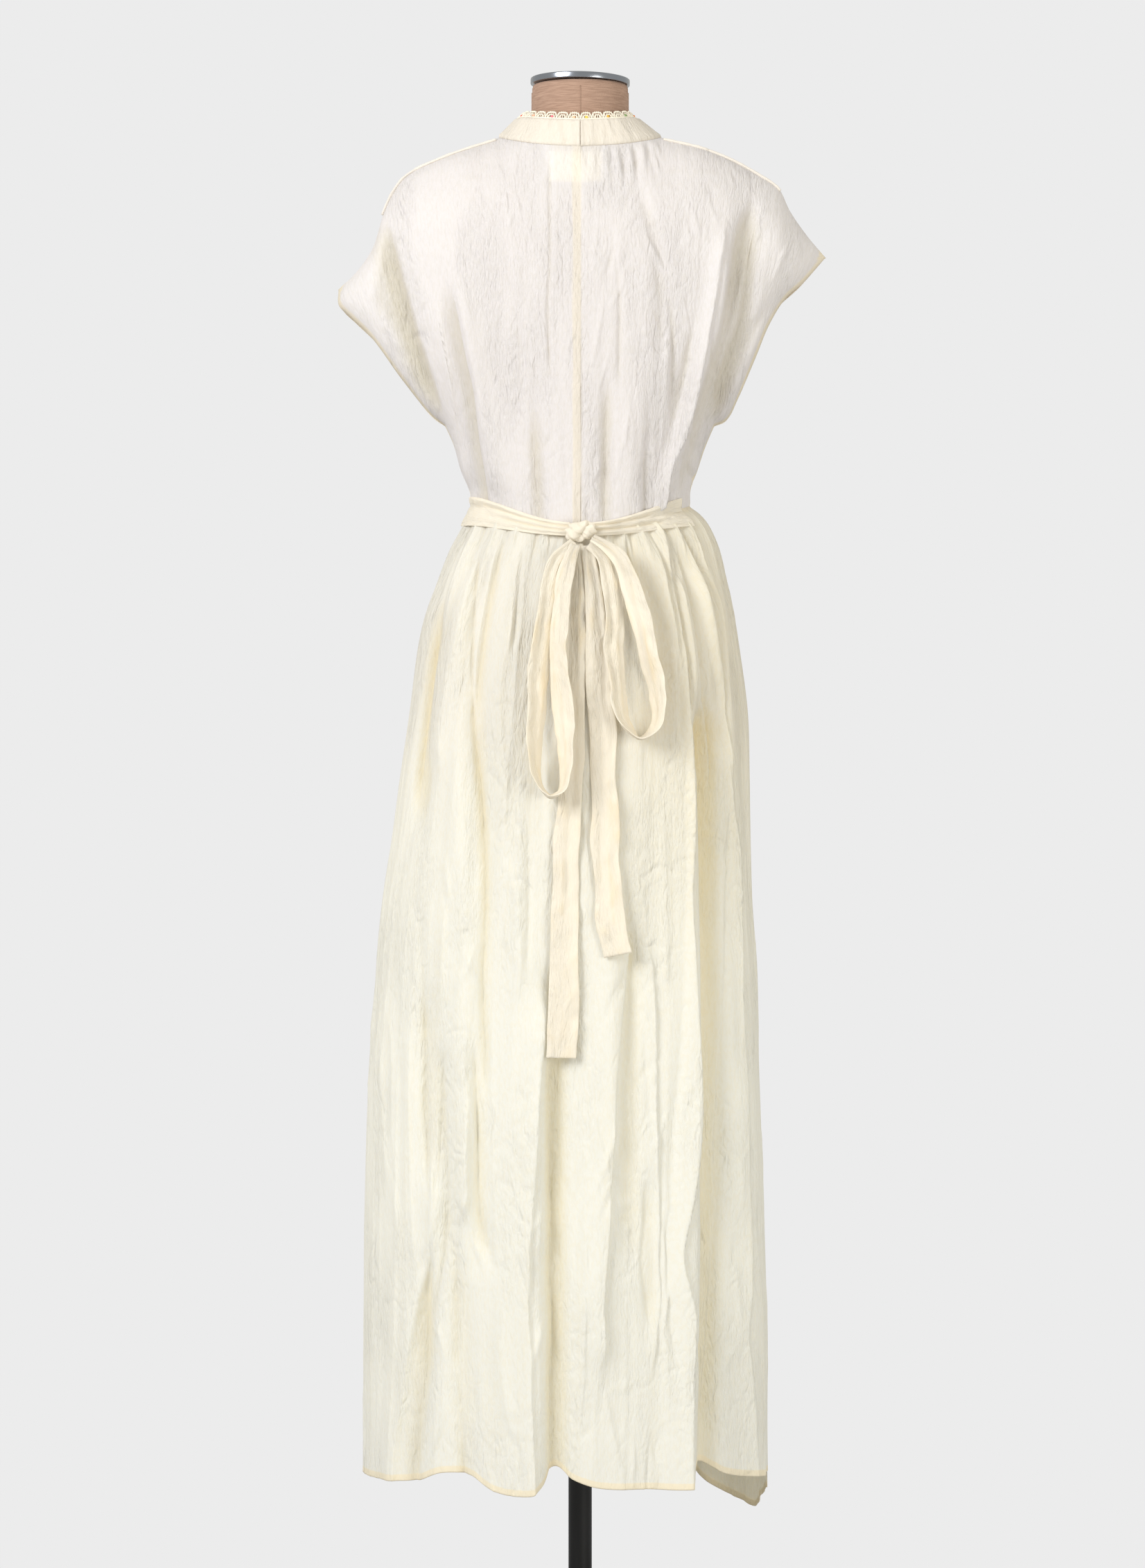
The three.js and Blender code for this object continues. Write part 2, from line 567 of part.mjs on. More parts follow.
function formCap() {
  const { radius, height } = CAP;
  const profile = [
    new THREE.Vector2(0, 0),
    new THREE.Vector2(radius - 1, 0),
    new THREE.Vector2(radius, 1),
    new THREE.Vector2(radius, height - 2),
    new THREE.Vector2(radius - 2, height),
    new THREE.Vector2(0, height + 1),
  ];
  const cap = new THREE.LatheGeometry(profile, 32);
  cap.rotateX(Math.PI / 2);
  return cap;
}

function formBase() {
  const { radius, edge, height, crown, hub } = BASE;
  const profile = [
    new THREE.Vector2(0, 0),
    new THREE.Vector2(radius - 1, 0),
    new THREE.Vector2(radius, 1),
    new THREE.Vector2(radius, edge),
    new THREE.Vector2(radius - 6, height),
    new THREE.Vector2(hub, crown),
    new THREE.Vector2(hub - 8, POLE.foot),
    new THREE.Vector2(0, POLE.foot),
  ];
  const base = new THREE.LatheGeometry(profile, 40);
  base.rotateX(Math.PI / 2);
  return base;
}

function formPole(length) {
  const pole = new THREE.CylinderGeometry(POLE.radius, POLE.radius, length, 20);
  pole.rotateX(Math.PI / 2);
  return pole;
}

// ---- Skirt ----

// Height of the waist seam, which the bow pulls down at the middle of the back.
function waistHeight(face, turn) {
  const dip = face === BACK ? WAIST.side - WAIST.back : 0;
  return WAIST.side - dip * Math.cos(turn) ** 2;
}

// The skirt's smooth ring point, with its normal and the direction along the ring.
function skirtRing(face, turn, drop) {
  const half = read(SKIRT, 'drop', turn < 0 ? 'left' : 'right', Math.max(drop, 0));
  const deep = read(SKIRT, 'drop', formSpan(face), Math.max(drop, 0));
  const [s, c] = [Math.sin(turn), Math.cos(turn)];
  return {
    point: new THREE.Vector3(half * s, face * deep * c, waistHeight(face, turn) - drop),
    normal: new THREE.Vector3(s / half, (face * c) / deep, 0).normalize(),
    along: new THREE.Vector3(half * c, -face * deep * s, 0).normalize(),
  };
}

// The wave of the waist gathers, uneven in spacing and height.
function gatherWave(face, turn, drop) {
  const { count, out, full, fade, left } = WAIST_GATHERS;
  const drift = 1.3 * Math.sin(3.1 * turn + 0.4 * face) + 0.7 * Math.sin(7.3 * turn + 1);
  const wave = Math.cos(2 * count * turn + drift) * (0.75 + 0.25 * Math.sin(5 * turn + face));
  const rise = smoothstep(drop, 0, full);
  const rest = lerp(1, left, smoothstep(drop, full, fade));
  return out * wave * rise * rest;
}

function skirtPoint(face, turn, drop) {
  const { point, normal, along } = skirtRing(face, turn, drop);
  const edge = 1 - smoothstep(Math.abs(turn), degToRad(66), degToRad(86));
  const fold = foldMove(FOLDS.skirt[face], point.x, point.z, 70);
  const settled = smoothstep(drop, 24, 80);
  point.addScaledVector(normal, (fold.out * settled + gatherWave(face, turn, drop)) * edge);
  return point.addScaledVector(along, fold.along * edge * settled);
}

function skirtPanel(face, { across, down }) {
  const hem = face === BACK ? HEM_BACK : HEM_FRONT;
  const limit = Math.PI / 2;
  const seam = SEAM_GAP / 2;
  const points = evenly(down).map((share) =>
    evenly(across, -limit, limit).map((turn) => {
      const top = waistHeight(face, turn);
      const foot = read(hem, 'x', 'z', skirtRing(face, turn, 1000).point.x);
      const point = skirtPoint(face, turn, share ** 1.5 * (top - foot));
      if (Math.abs(turn) > limit - 1e-6) point.y = face * seam;
      return point;
    }),
  );
  const lock = (r, c) => (r === 0 ? 'z' : '') + (c === 0 || c === across ? 'y' : '');
  return wall(points, gridNormals(points, -face, lock), CLOTH);
}

// Outer face of the skirt's back at a place across and up it.
function skirtBackDepth(x, z) {
  let turn = 0;
  for (let pass = 0; pass < 6; pass += 1) {
    const drop = waistHeight(BACK, turn) - z;
    const half = read(SKIRT, 'drop', x < 0 ? 'left' : 'right', Math.max(drop, 0));
    turn = Math.asin(clamp(x / half, -1, 1));
  }
  return -skirtPoint(BACK, turn, waistHeight(BACK, turn) - z).y;
}

// ---- Bodice ----

const necklineBack = curveOf(NECKLINE_BACK);
const necklineFront = curveOf(
  NECKLINE_FRONT.map(({ x, z }, i) => ({
    x,
    z,
    y: i === 0 ? -SEAM_DEPTH.neck : clearDepth(FRONT, x, z),
  })),
);

// One side of the bodice, as functions of u, from the middle line to the side, and v, from
// the waist to the top.
function bodiceSide(face, side) {
  const outline = OUTLINE[side];
  const shoulder = curveOf(outline.shoulder);
  const mouth = curveOf(outline.mouth);
  const seam = curveOf(outline.side);
  const neckline = face === BACK ? necklineBack : necklineFront;
  const neckShare = 1 / 3;
  const mirror = (point) => new THREE.Vector3(point.x * side, point.y, point.z);
  const neckAt = (u) => mirror(neckline(face === BACK ? u / neckShare : 1 - u / neckShare));
  const top = (u) => (u <= neckShare ? neckAt(u) : shoulder((u - neckShare) / (1 - neckShare)));
  const waist = (u) => skirtRing(face, (side * u * Math.PI) / 2, 0).point;
  const edge = (v) =>
    v <= UNDERARM_ROW ? seam(v / UNDERARM_ROW) : mouth((v - UNDERARM_ROW) / (1 - UNDERARM_ROW));
  const middle = (v) => new THREE.Vector3(0, 0, lerp(waist(0).z, top(0).z, v));
  return { face, side, neckShare, top, waist, edge, middle };
}

// Depth of the panel's top edge, toward its own face.
function topDepth({ face, neckShare, top }, u) {
  if (u <= neckShare) return face * top(u).y;
  const share = (u - neckShare) / (1 - neckShare);
  const behind = share < 0.45
    ? lerp(SEAM_DEPTH.neck, SEAM_DEPTH.shoulder, share / 0.45)
    : lerp(SEAM_DEPTH.shoulder, SEAM_DEPTH.tip, smoothstep(share, 0.45, 1));
  return -face * behind;
}

function crownHeight({ neckShare }, u) {
  if (u <= neckShare) return CROWN.neck;
  const share = (u - neckShare) / (1 - neckShare);
  if (share < 0.4) return lerp(CROWN.neck, CROWN.shoulder, share / 0.4);
  return lerp(CROWN.shoulder, CROWN.sleeve, smoothstep(share, 0.4, 0.75));
}

// The folds that run through the panel, with the gathers under the neckband.
function bodiceFold({ face, side }, x, z) {
  let { out } = foldMove(FOLDS.bodice[face], x, z, 45);
  const { from, to, count, out: size, length } = NECK_GATHERS;
  const share = (x - from) / (to - from);
  if (face === BACK && side === RIGHT && share > 0 && share < 1) {
    const below = read(NECKLINE_BACK, 'x', 'z', x) - z;
    const fade = smoothstep(below, 0, 12) * (1 - smoothstep(below, 18, length));
    out += size * Math.sin(share * count * 2 * Math.PI) * fade;
  }
  return out;
}

function bodicePoint(panel, u, v) {
  const { face, top, waist, edge, middle } = panel;
  const mix = (key) => {
    const across = lerp(middle(v)[key], edge(v)[key], u);
    const up = lerp(waist(u)[key], top(u)[key], v);
    const low = lerp(middle(0)[key], edge(0)[key], u);
    const high = lerp(middle(1)[key], edge(1)[key], u);
    return across + up - lerp(low, high, v);
  };
  const x = mix('x');
  const z = mix('z');
  const share = clamp(Math.abs(x / edge(v).x), 0, 1);
  const power = lerp(2, BODY_POWER, smoothstep(v, 0, 0.3));
  const round = (1 - share ** power) ** (1 / power);
  const open = clamp((v - UNDERARM_ROW) / (1 - UNDERARM_ROW), 0, 1);
  const gap = SLEEVE_MOUTH * Math.sin(Math.PI * open) ** 0.65;
  const deep = read(BODICE_DEPTH, 'z', formSpan(face), z);
  const full = lerp(gap, deep, round);
  const fold = bodiceFold(panel, x, z) * smoothstep(1 - u, 0, 0.1) * smoothstep(v, 0, 0.12);
  const below = Math.hypot(top(u).x - x, top(u).z - z);
  const height = crownHeight(panel, u);
  const rise = clamp(below / height, 0, 1);
  const crown = Math.sqrt(1 - (1 - rise) ** 2);
  const vee = face === FRONT && u <= panel.neckShare ? 1 : 0;
  const start = topDepth(panel, u);
  const soft = vee ? smoothstep(below, 0, 60) : crown;
  const depth = lerp(start, full + fold, soft);
  const clear = v > 0.999 || u > 0.999 ? depth : Math.max(depth, clearDepth(face, x, z));
  return new THREE.Vector3(x, face * clear, z);
}

// Places across a half panel: its neck columns, then its shoulder and sleeve columns.
const columnsOf = ({ neckShare }, neckSteps) => [
  ...evenly(neckSteps, 0, neckShare),
  ...evenly(SLEEVE_STEPS, neckShare, 1).slice(1),
];

// Rows from the waist up, closer together near the top, where the cloth rounds over.
const bodiceRows = evenly(BODICE_ROWS).map((share) => Math.sin((share * Math.PI) / 2) ** 1.1);

function bodiceGrid(panel, columns) {
  const rows = bodiceRows.map((v) => columns.map((u) => bodicePoint(panel, u, v)));
  const half = (panel.face * SEAM_GAP) / 2;
  rows.forEach((line, r) => {
    if (bodiceRows[r] <= UNDERARM_ROW + 0.02) line[line.length - 1].y = half;
  });
  rows[BODICE_ROWS].forEach((point, c) => {
    if (columns[c] >= panel.neckShare - 1e-6) point.y += half;
  });
  rows[0].forEach((point) => (point.z += SEAM_GAP));
  return rows;
}

// The axes that a bodice seam's normals leave out.
function bodiceLock(panel, columns) {
  return (r, c) => {
    const u = columns[c];
    const atTop = r === BODICE_ROWS;
    const shoulder = atTop && u >= panel.neckShare - 1e-6;
    const side = u > 0.999 && bodiceRows[r] <= UNDERARM_ROW + 0.02;
    const middle = u < 1e-6 ? 'x' : '';
    return (r === 0 ? 'z' : '') + (shoulder || side ? 'y' : '') + middle;
  };
}

function bodiceHalf(face, side, neckSteps) {
  const panel = bodiceSide(face, side);
  const columns = columnsOf(panel, neckSteps);
  const points = bodiceGrid(panel, columns);
  if (face === BACK) points.forEach((line) => (line[0].x = (side * SEAM_GAP) / 2));
  const normals = gridNormals(points, face * side, bodiceLock(panel, columns));
  return { panel, columns, points, normals };
}

const backLeft = bodiceHalf(BACK, LEFT, NECK_STEPS.plain);
const backRight = bodiceHalf(BACK, RIGHT, NECK_STEPS.gathered);
const frontLeft = bodiceHalf(FRONT, LEFT, NECK_STEPS.vee);
const frontRight = bodiceHalf(FRONT, RIGHT, NECK_STEPS.vee);

// The front is one piece: both halves share their middle line.
function bodiceFront() {
  const join = (key) =>
    frontLeft[key].map((line, r) => [...line.slice().reverse(), ...frontRight[key][r].slice(1)]);
  return wall(join('points'), join('normals'), CLOTH);
}

// ---- Neckband ----

// A neckband half is sewn to the panels' own neckline points, from the middle of the back to
// the point of the V, and its free edge follows its own table.
function neckbandGrid(side, back, front) {
  const column = side === LEFT ? 'left' : 'right';
  const freeBack = curveOf(BAND_EDGE_BACK.map((row) => ({ ...row, x: row[column] })));
  const freeFront = curveOf(
    BAND_EDGE_FRONT.map(({ [column]: x, z, lift }, i) => ({
      x,
      z,
      y: i === 0 ? BAND_EDGE_BACK[3].y : clearDepth(FRONT, x, z) + lift,
    })),
  );
  const neckCount = (half) => half.columns.filter((u) => u <= half.panel.neckShare + 1e-6).length;
  const topRow = (half) => half.points[BODICE_ROWS].slice(0, neckCount(half));
  const sewn = [...topRow(back), ...topRow(front).reverse().slice(1)];
  const free = [
    ...evenly(neckCount(back) - 1).map(freeBack),
    ...evenly(neckCount(front) - 1).slice(1).map(freeFront),
  ].map((point) => new THREE.Vector3(point.x * side, point.y, point.z));
  const atMiddle = (c) => c === 0 || c === sewn.length - 1;
  const rows = evenly(3).map((share) =>
    sewn.map((point, c) => {
      const toward = free[c].clone().sub(point);
      const start = point.clone().addScaledVector(toward.normalize(), BAND_GAP);
      const place = start.lerp(free[c], share);
      if (atMiddle(c)) place.x = (side * SEAM_GAP) / 2;
      return place;
    }),
  );
  const normals = gridNormals(rows, side, (r, c) => (atMiddle(c) ? 'x' : ''));
  return { rows, normals };
}

const bandLeft = neckbandGrid(LEFT, backLeft, frontLeft);
const bandRight = neckbandGrid(RIGHT, backRight, frontRight);

// Crochet edging: scallops that stand on the neckband's free edge.
function neckTrim({ rows, normals }) {
  const edge = rows[rows.length - 1];
  const below = rows[rows.length - 2];
  const count = edge.length - 1;
  const edgeCurve = new THREE.CatmullRomCurve3(edge, false, 'centripetal');
  const scallops = Math.round(edgeCurve.getLength() / TRIM.pitch);
  const shares = evenly(scallops * 3);
  const rise = shares.map((share) => {
    const arch = Math.abs(Math.sin(share * scallops * Math.PI));
    return lerp(TRIM.dip, TRIM.peak, arch);
  });
  const at = (list, share) => {
    const place = clamp(share, 0, 1) * count;
    const i = Math.min(Math.floor(place), count - 1);
    return list[i].clone().lerp(list[i + 1], place - i);
  };
  const outer = [[], []];
  const inner = [[], []];
  shares.forEach((share, i) => {
    const foot = at(edge, share);
    const up = foot.clone().sub(at(below, share)).normalize();
    const normal = at(normals[normals.length - 1], share).normalize();
    const start = foot.addScaledVector(up, SEAM_GAP).addScaledVector(normal, -0.2);
    const tip = start.clone().addScaledVector(up, rise[i]);
    [start, tip].forEach((point, r) => {
      outer[r].push(point.clone());
      inner[r].push(point.clone().addScaledVector(normal, -TRIM.cloth));
    });
  });
  return shell(outer, inner);
}

// A blank label on the inside of the back neck, made from the panels' points moved inward.
function neckLabel() {
  const { from, to, upper, lower, cloth } = LABEL;
  const shareOf = (x) => (Math.abs(x) / NECKLINE_BACK[3].x) * backLeft.panel.neckShare * 0.98;
  const columns = evenly(6, from, to);
  const points = evenly(3, upper, lower).map((v) =>
    columns.map((x) => {
      const panel = x < 0 ? backLeft.panel : backRight.panel;
      return bodicePoint(panel, shareOf(x), v);
    }),
  );
  const normals = gridNormals(points, 1);
  const outer = moved(points, normals, -CLOTH - LABEL.off);
  return shell(outer, moved(outer, normals, -cloth));
}

// A raised cord of seam allowance on the shoulder seam, just outside the back panel.
function shoulderSeam({ panel, points, normals, columns }) {
  const { radius, sides, reach } = SHOULDER_SEAM;
  const row = BODICE_ROWS - 1;
  const centres = [];
  columns.forEach((u, c) => {
    const share = (u - panel.neckShare) / (1 - panel.neckShare);
    if (share < -1e-6 || share > reach) return;
    centres.push(points[row][c].clone().addScaledVector(normals[row][c], radius + SEAM_GAP));
  });
  centres[0].lerp(centres[1], 0.25);
  const curve = new THREE.CatmullRomCurve3(centres, false, 'centripetal');
  const section = new THREE.Shape(
    evenly(sides).slice(0, -1).map((share) => {
      const angle = share * 2 * Math.PI;
      return new THREE.Vector2(radius * Math.cos(angle), radius * Math.sin(angle));
    }),
  );
  return new THREE.ExtrudeGeometry(section, {
    steps: SHOULDER_SEAM.steps,
    extrudePath: curve,
    bevelEnabled: false,
  });
}

// ---- Sashes ----

// A sash over the waist seam, from its side seam to the knot.
function sashStretch(fromDegrees, toDegrees) {
  const from = degToRad(fromDegrees);
  const to = degToRad(toDegrees);
  const heights = [0.5, 0.17, -0.17, -0.5];
  const edges = [SASH.off, SASH.off + SASH_CLOTH];
  const face = edges.map((off) =>
    heights.map((height) =>
      evenly(22, from, to).map((turn) => {
        const near = Math.cos(turn) ** 3;
        const z = lerp(SASH.sideZ, SASH.backZ, near);
        const tall = 2 * lerp(SASH.sideHalf, SASH.backHalf, near);
        const level = z + height * tall;
        const drop = Math.max(waistHeight(BACK, turn) - level, 0);
        const { point, normal } = skirtRing(BACK, turn, drop);
        const bulge = WAIST_GATHERS.out * smoothstep(drop, 0, WAIST_GATHERS.full);
        const flare = SASH.flare * Math.max(level - waistHeight(BACK, turn), 0);
        const lift = off + bulge + flare + SASH.rise * smoothstep(Math.cos(turn), 0.93, 1);
        point.addScaledVector(normal, lift);
        point.z = level;
        return point;
      }),
    ),
  );
  return shell(face[1], face[0]);
}

// Rows of a hanging ribbon, placed on the skirt's own outer points moved out.
function hangingRows(table) {
  const keys = ['off', 'yaw', 'width'];
  const path = new THREE.CatmullRomCurve3(
    table.map(({ x, z }) => new THREE.Vector3(x, 0, z)), false, 'centripetal');
  const steps = (table.length - 1) * 2;
  return evenly(steps).map((share) => {
    const flat = path.getPoint(share);
    const place = share * (table.length - 1);
    const i = Math.min(Math.floor(place), table.length - 2);
    const [off, yaw, width] = keys.map((key) => lerp(table[i][key], table[i + 1][key], place - i));
    const depth = (x) => skirtBackDepth(x, flat.z);
    const reach = (Math.abs(Math.cos(degToRad(yaw))) * width) / 2;
    const skirt = Math.max(depth(flat.x - reach), depth(flat.x), depth(flat.x + reach));
    const centre = new THREE.Vector3(flat.x, -(skirt + off), flat.z);
    return { centre, yaw, width };
  });
}

function hangingRibbon(table, crease) {
  const rows = hangingRows(table);
  const last = rows.length - 1;
  const framed = rows.map(({ centre, yaw, width }, i) => {
    const ahead = rows[Math.min(i + 1, last)].centre.clone();
    const tangent = ahead.sub(rows[Math.max(i - 1, 0)].centre).normalize();
    const wide = new THREE.Vector3(Math.cos(degToRad(yaw)), Math.sin(degToRad(yaw)), 0);
    wide.addScaledVector(tangent, -wide.dot(tangent)).normalize();
    const out = wide.clone().cross(tangent).normalize();
    return { centre, wide, out, width };
  });
  return ribbon(framed, SASH_CLOTH, crease);
}

function sashKnot() {
  const lump = new THREE.SphereGeometry(0.5, 14, 10);
  const place = lump.attributes.position;
  for (let i = 0; i < place.count; i += 1) {
    const [x, y, z] = [place.getX(i), place.getY(i), place.getZ(i)];
    const wrap = 1 + 0.1 * Math.cos(z * 9);
    place.setXYZ(i, x * KNOT.wide * wrap, y * KNOT.deep * wrap, z * KNOT.high);
  }
  lump.deleteAttribute('normal');
  lump.deleteAttribute('uv');
  return mergeVertices(lump, 1e-4);
}

// ---- The whole object ----

const model = new THREE.Group();

function add(name, geometry, material, place = [0, 0, 0]) {
  const mesh = new THREE.Mesh(geometry, material);
  mesh.name = name;
  mesh.position.set(...place);
  model.add(mesh);
  return mesh;
}

const [torsoFoot, neckTop] = [FORM[0].z, FORM[FORM.length - 1].z];
const poleLength = torsoFoot - POLE.foot - 2 * SEAM_GAP;
add('form_base', formBase(), BLACK_STEEL);
add('form_pole', formPole(poleLength), BLACK_STEEL, [0, 0, POLE.foot + SEAM_GAP + poleLength / 2]);
add('form_body', formBody(), LINEN);
const cap = add('form_cap', formCap(), CHROME, [0, 0, neckTop + 1.3]);
cap.rotation.y = degToRad(CAP.tilt);

add('skirt_back', skirtPanel(BACK, SKIRT_BACK_GRID), COTTON);
add('skirt_front', skirtPanel(FRONT, SKIRT_FRONT_GRID), COTTON);
add('bodice_back_left', wall(backLeft.points, backLeft.normals, CLOTH), COTTON);
add('bodice_back_right', wall(backRight.points, backRight.normals, CLOTH), COTTON);
add('bodice_front', bodiceFront(), COTTON);
add('neckband_left', wall(bandLeft.rows, bandLeft.normals, BAND_CLOTH), COTTON);
add('neckband_right', wall(bandRight.rows, bandRight.normals, BAND_CLOTH), COTTON);
add('neck_trim_left', neckTrim(bandLeft), CROCHET);
add('neck_trim_right', neckTrim(bandRight), CROCHET);
add('neck_label', neckLabel(), LABEL_SATIN);
add('shoulder_seam_left', shoulderSeam(backLeft), COTTON);
add('shoulder_seam_right', shoulderSeam(backRight), COTTON);

add('sash_left', sashStretch(SASH_ENDS.left, -SASH_ENDS.knot), SASH_COTTON);
add('sash_right', sashStretch(SASH_ENDS.knot, SASH_ENDS.right), SASH_COTTON);
const knotDepth = skirtRing(BACK, 0, 6).point.y - KNOT.off - KNOT.deep / 2 - WAIST_GATHERS.out;
add('sash_knot', sashKnot(), SASH_COTTON, [KNOT.x, knotDepth, KNOT.z]);
add('bow_loop_left', hangingRibbon(LOOP_LEFT, 1.5), SASH_COTTON);
add('bow_loop_right', hangingRibbon(LOOP_RIGHT, 1.5), SASH_COTTON);
add('sash_tail_left', hangingRibbon(TAIL_LEFT, 1), SASH_COTTON);
add('sash_tail_right', hangingRibbon(TAIL_RIGHT, 1), SASH_COTTON);

export default model;
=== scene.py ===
"""A long crinkled cotton dress with a bow at its back, on a limbless dress form.

The tables are in millimetres, in the frame of the CAD model: +Z up, floor at z = 0 under the pole,
the dress's back faces -Y and +X is the wearer's right. "turn" is the angle round a skirt ring from
the middle of its face, and "drop" is the distance below the waist seam.
"""
import math

import bpy
import numpy as np
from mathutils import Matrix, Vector


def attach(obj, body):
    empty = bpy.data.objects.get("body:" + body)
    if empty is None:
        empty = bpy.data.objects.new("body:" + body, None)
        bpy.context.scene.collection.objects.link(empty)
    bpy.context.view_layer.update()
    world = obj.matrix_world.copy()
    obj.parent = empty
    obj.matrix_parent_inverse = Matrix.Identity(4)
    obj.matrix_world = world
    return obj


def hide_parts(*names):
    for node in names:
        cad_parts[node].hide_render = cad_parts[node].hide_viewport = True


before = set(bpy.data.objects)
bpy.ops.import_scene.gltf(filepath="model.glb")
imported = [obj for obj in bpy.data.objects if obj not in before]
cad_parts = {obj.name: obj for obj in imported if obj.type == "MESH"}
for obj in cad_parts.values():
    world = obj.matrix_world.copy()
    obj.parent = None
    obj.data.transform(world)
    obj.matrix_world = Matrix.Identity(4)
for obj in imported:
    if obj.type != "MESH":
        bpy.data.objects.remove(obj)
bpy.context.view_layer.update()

MM = 0.001
BACK, FRONT = -1, 1
LEFT, RIGHT = -1, 1
FACE_NAMES = {BACK: "back", FRONT: "front"}
SIDE_NAMES = {LEFT: "left", RIGHT: "right"}
DETAIL = 1.0  # share of the full grid sizes


# ---- Tables ----

def table(columns, *rows):
    """Rows of numbers under named columns, as {column: array}."""
    return dict(zip(columns.split(), np.array(rows, float).T))


def rows_of(rows):
    """The rows of a table, each as {column: number}."""
    names = list(rows)
    return [dict(zip(names, values)) for values in zip(*(rows[name] for name in names))]


WAIST = {"side": 1196, "back": 1170}  # height of the waist seam
BODY_POWER = 2.15  # roundness of the bodice's level sections
EASE = 5  # cloth to form, where the cloth lies close

# Level rings of the skirt.
SKIRT = table(
    "drop left right back front",
    (0, 115, 117, 90, 94),
    (12, 121, 130, 92, 97),
    (24, 126, 138, 95, 101),
    (46, 138, 147, 101, 107),
    (80, 152, 155, 111, 113),
    (115, 165, 164, 119, 118),
    (150, 173, 170, 125, 121),
    (219, 182, 179, 129, 125),
    (288, 192, 181, 132, 128),
    (356, 201, 182, 135, 131),
    (425, 211, 184, 138, 134),
    (495, 217, 189, 140, 136),
    (600, 225, 191, 143, 139),
    (744, 230, 196, 146, 143),
    (870, 231, 199, 149, 146),
    (1080, 232, 200, 152, 149),
)
HEM = {
    BACK: table(
        "x z",
        (-232, 168), (-195, 170), (-172, 173), (-145, 184), (-115, 183), (-90, 168),
        (-60, 166), (-42, 176), (-28, 194), (-8, 182), (20, 173), (70, 171),
        (112, 172), (128, 194), (152, 180), (183, 171), (200, 168),
    ),
    FRONT: table(
        "x z",
        (-232, 168), (-150, 160), (-70, 168), (20, 160), (90, 166), (130, 150),
        (160, 128), (188, 121), (200, 150),
    ),
}
SKIRT_LEVELS = (1150, 990, 750, 480, 180)
BODICE_LEVELS = (1200, 1280, 1360, 1440, 1520)
FOLD_COLUMNS = "l0 l1 l2 l3 l4 width out lean upper lower"

# Folds: x at the five levels above, half width, how far the cloth moves out, how far the crest
# leans to +X, and the heights between which the fold runs.
SKIRT_FOLDS = {
    BACK: table(
        FOLD_COLUMNS,
        (-99, -111, -97, -108, -96, 14, -5, 0, 1180, 370),
        (-118, -132, -124, -128, -126, 14, 6, 5, 1130, 420),
        (-138, -161, -176, -180, -184, 10, -8, 0, 1120, 830),
        (-60, -72, -66, -72, -72, 20, 6, 6, 1120, 100),
        (-150, -155, -160, -159, -162, 13, -4, 0, 700, 250),
        (-130, -135, -142, -138, -140, 11, -3, 0, 640, 380),
        (-150, -160, -165, -164, -178, 14, -6, 0, 420, 60),
        (-110, -118, -120, -124, -121, 13, -5, 0, 430, 60),
        (-40, -42, -40, -52, -50, 16, 6, 5, 700, 60),
        (-30, -30, -29, -28, -27, 13, -14, 0, 730, 40),
        (20, 21, 24, 17, 12, 18, 5, 3, 790, 240),
        (45, 46, 50, 48, 44, 13, -7, 0, 780, 380),
        (60, 66, 70, 74, 78, 9, -6, 0, 520, 300),
        (78, 104, 110, 108, 108, 17, 9, 7, 1170, 40),
        (96, 124, 133, 136, 128, 14, -17, 0, 1020, 40),
        (112, 134, 148, 156, 156, 12, 7, 6, 1160, 420),
        (126, 146, 162, 175, 182, 12, 7, 6, 1150, 60),
        (119, 139, 154, 165, 170, 8, -7, 0, 1150, 560),
    ),
    FRONT: table(
        FOLD_COLUMNS,
        (-112, -148, -178, -190, -192, 13, -10, 0, 1170, 80),
        (-92, -122, -140, -150, -156, 18, 10, -6, 1160, 60),
        (-66, -86, -96, -100, -106, 13, -13, 0, 1100, 60),
        (-38, -46, -52, -58, -64, 18, 9, 0, 1140, 120),
        (-12, -12, -14, -16, -20, 13, -11, 0, 880, 60),
        (16, 20, 24, 26, 24, 18, 9, 5, 1150, 60),
        (40, 52, 60, 62, 66, 12, -14, 0, 1020, 60),
        (70, 88, 98, 104, 108, 18, 9, 0, 1160, 300),
        (94, 116, 130, 138, 140, 12, -10, 0, 900, 60),
        (110, 138, 152, 164, 172, 14, 7, 0, 1150, 60),
    ),
}
BODICE_FOLDS = {
    BACK: table(
        FOLD_COLUMNS,
        (-99, -109, -127, -145, -160, 9, -3, 0, 1450, 1170),
        (-84, -96, -112, -128, -140, 12, 6, -6, 1440, 1180),
        (-120, -140, -170, -194, -208, 13, -5, 0, 1510, 1270),
        (-150, -178, -202, -212, -220, 7, -5, 0, 1450, 1340),
        (-44, -45, -46, -47, -48, 9, -4, 0, 1310, 1150),
        (28, 27, 28, 30, 30, 10, -3.5, 0, 1340, 1150),
        (56, 54, 56, 58, 60, 13, 4, 0, 1330, 1150),
        (74, 76, 84, 84, 64, 8, -4, 0, 1540, 1330),
        (87, 107, 136, 147, 152, 9, 9, 6, 1480, 1170),
        (100, 121, 143, 164, 182, 8, -9, 0, 1530, 1190),
        (120, 141, 173, 224, 250, 9, -6, 0, 1440, 1270),
    ),
    FRONT: table(
        FOLD_COLUMNS,
        (-98, -112, -132, -150, -160, 10, -7, 0, 1500, 1180),
        (-62, -70, -84, -90, -92, 14, 5, 0, 1420, 1160),
        (-28, -34, -44, -56, -60, 10, -5, 0, 1380, 1160),
        (24, 28, 38, 52, 60, 11, -5, 0, 1400, 1160),
        (58, 66, 80, 88, 92, 14, 5, 0, 1400, 1160),
        (96, 114, 138, 156, 170, 10, -7, 0, 1500, 1180),
    ),
}
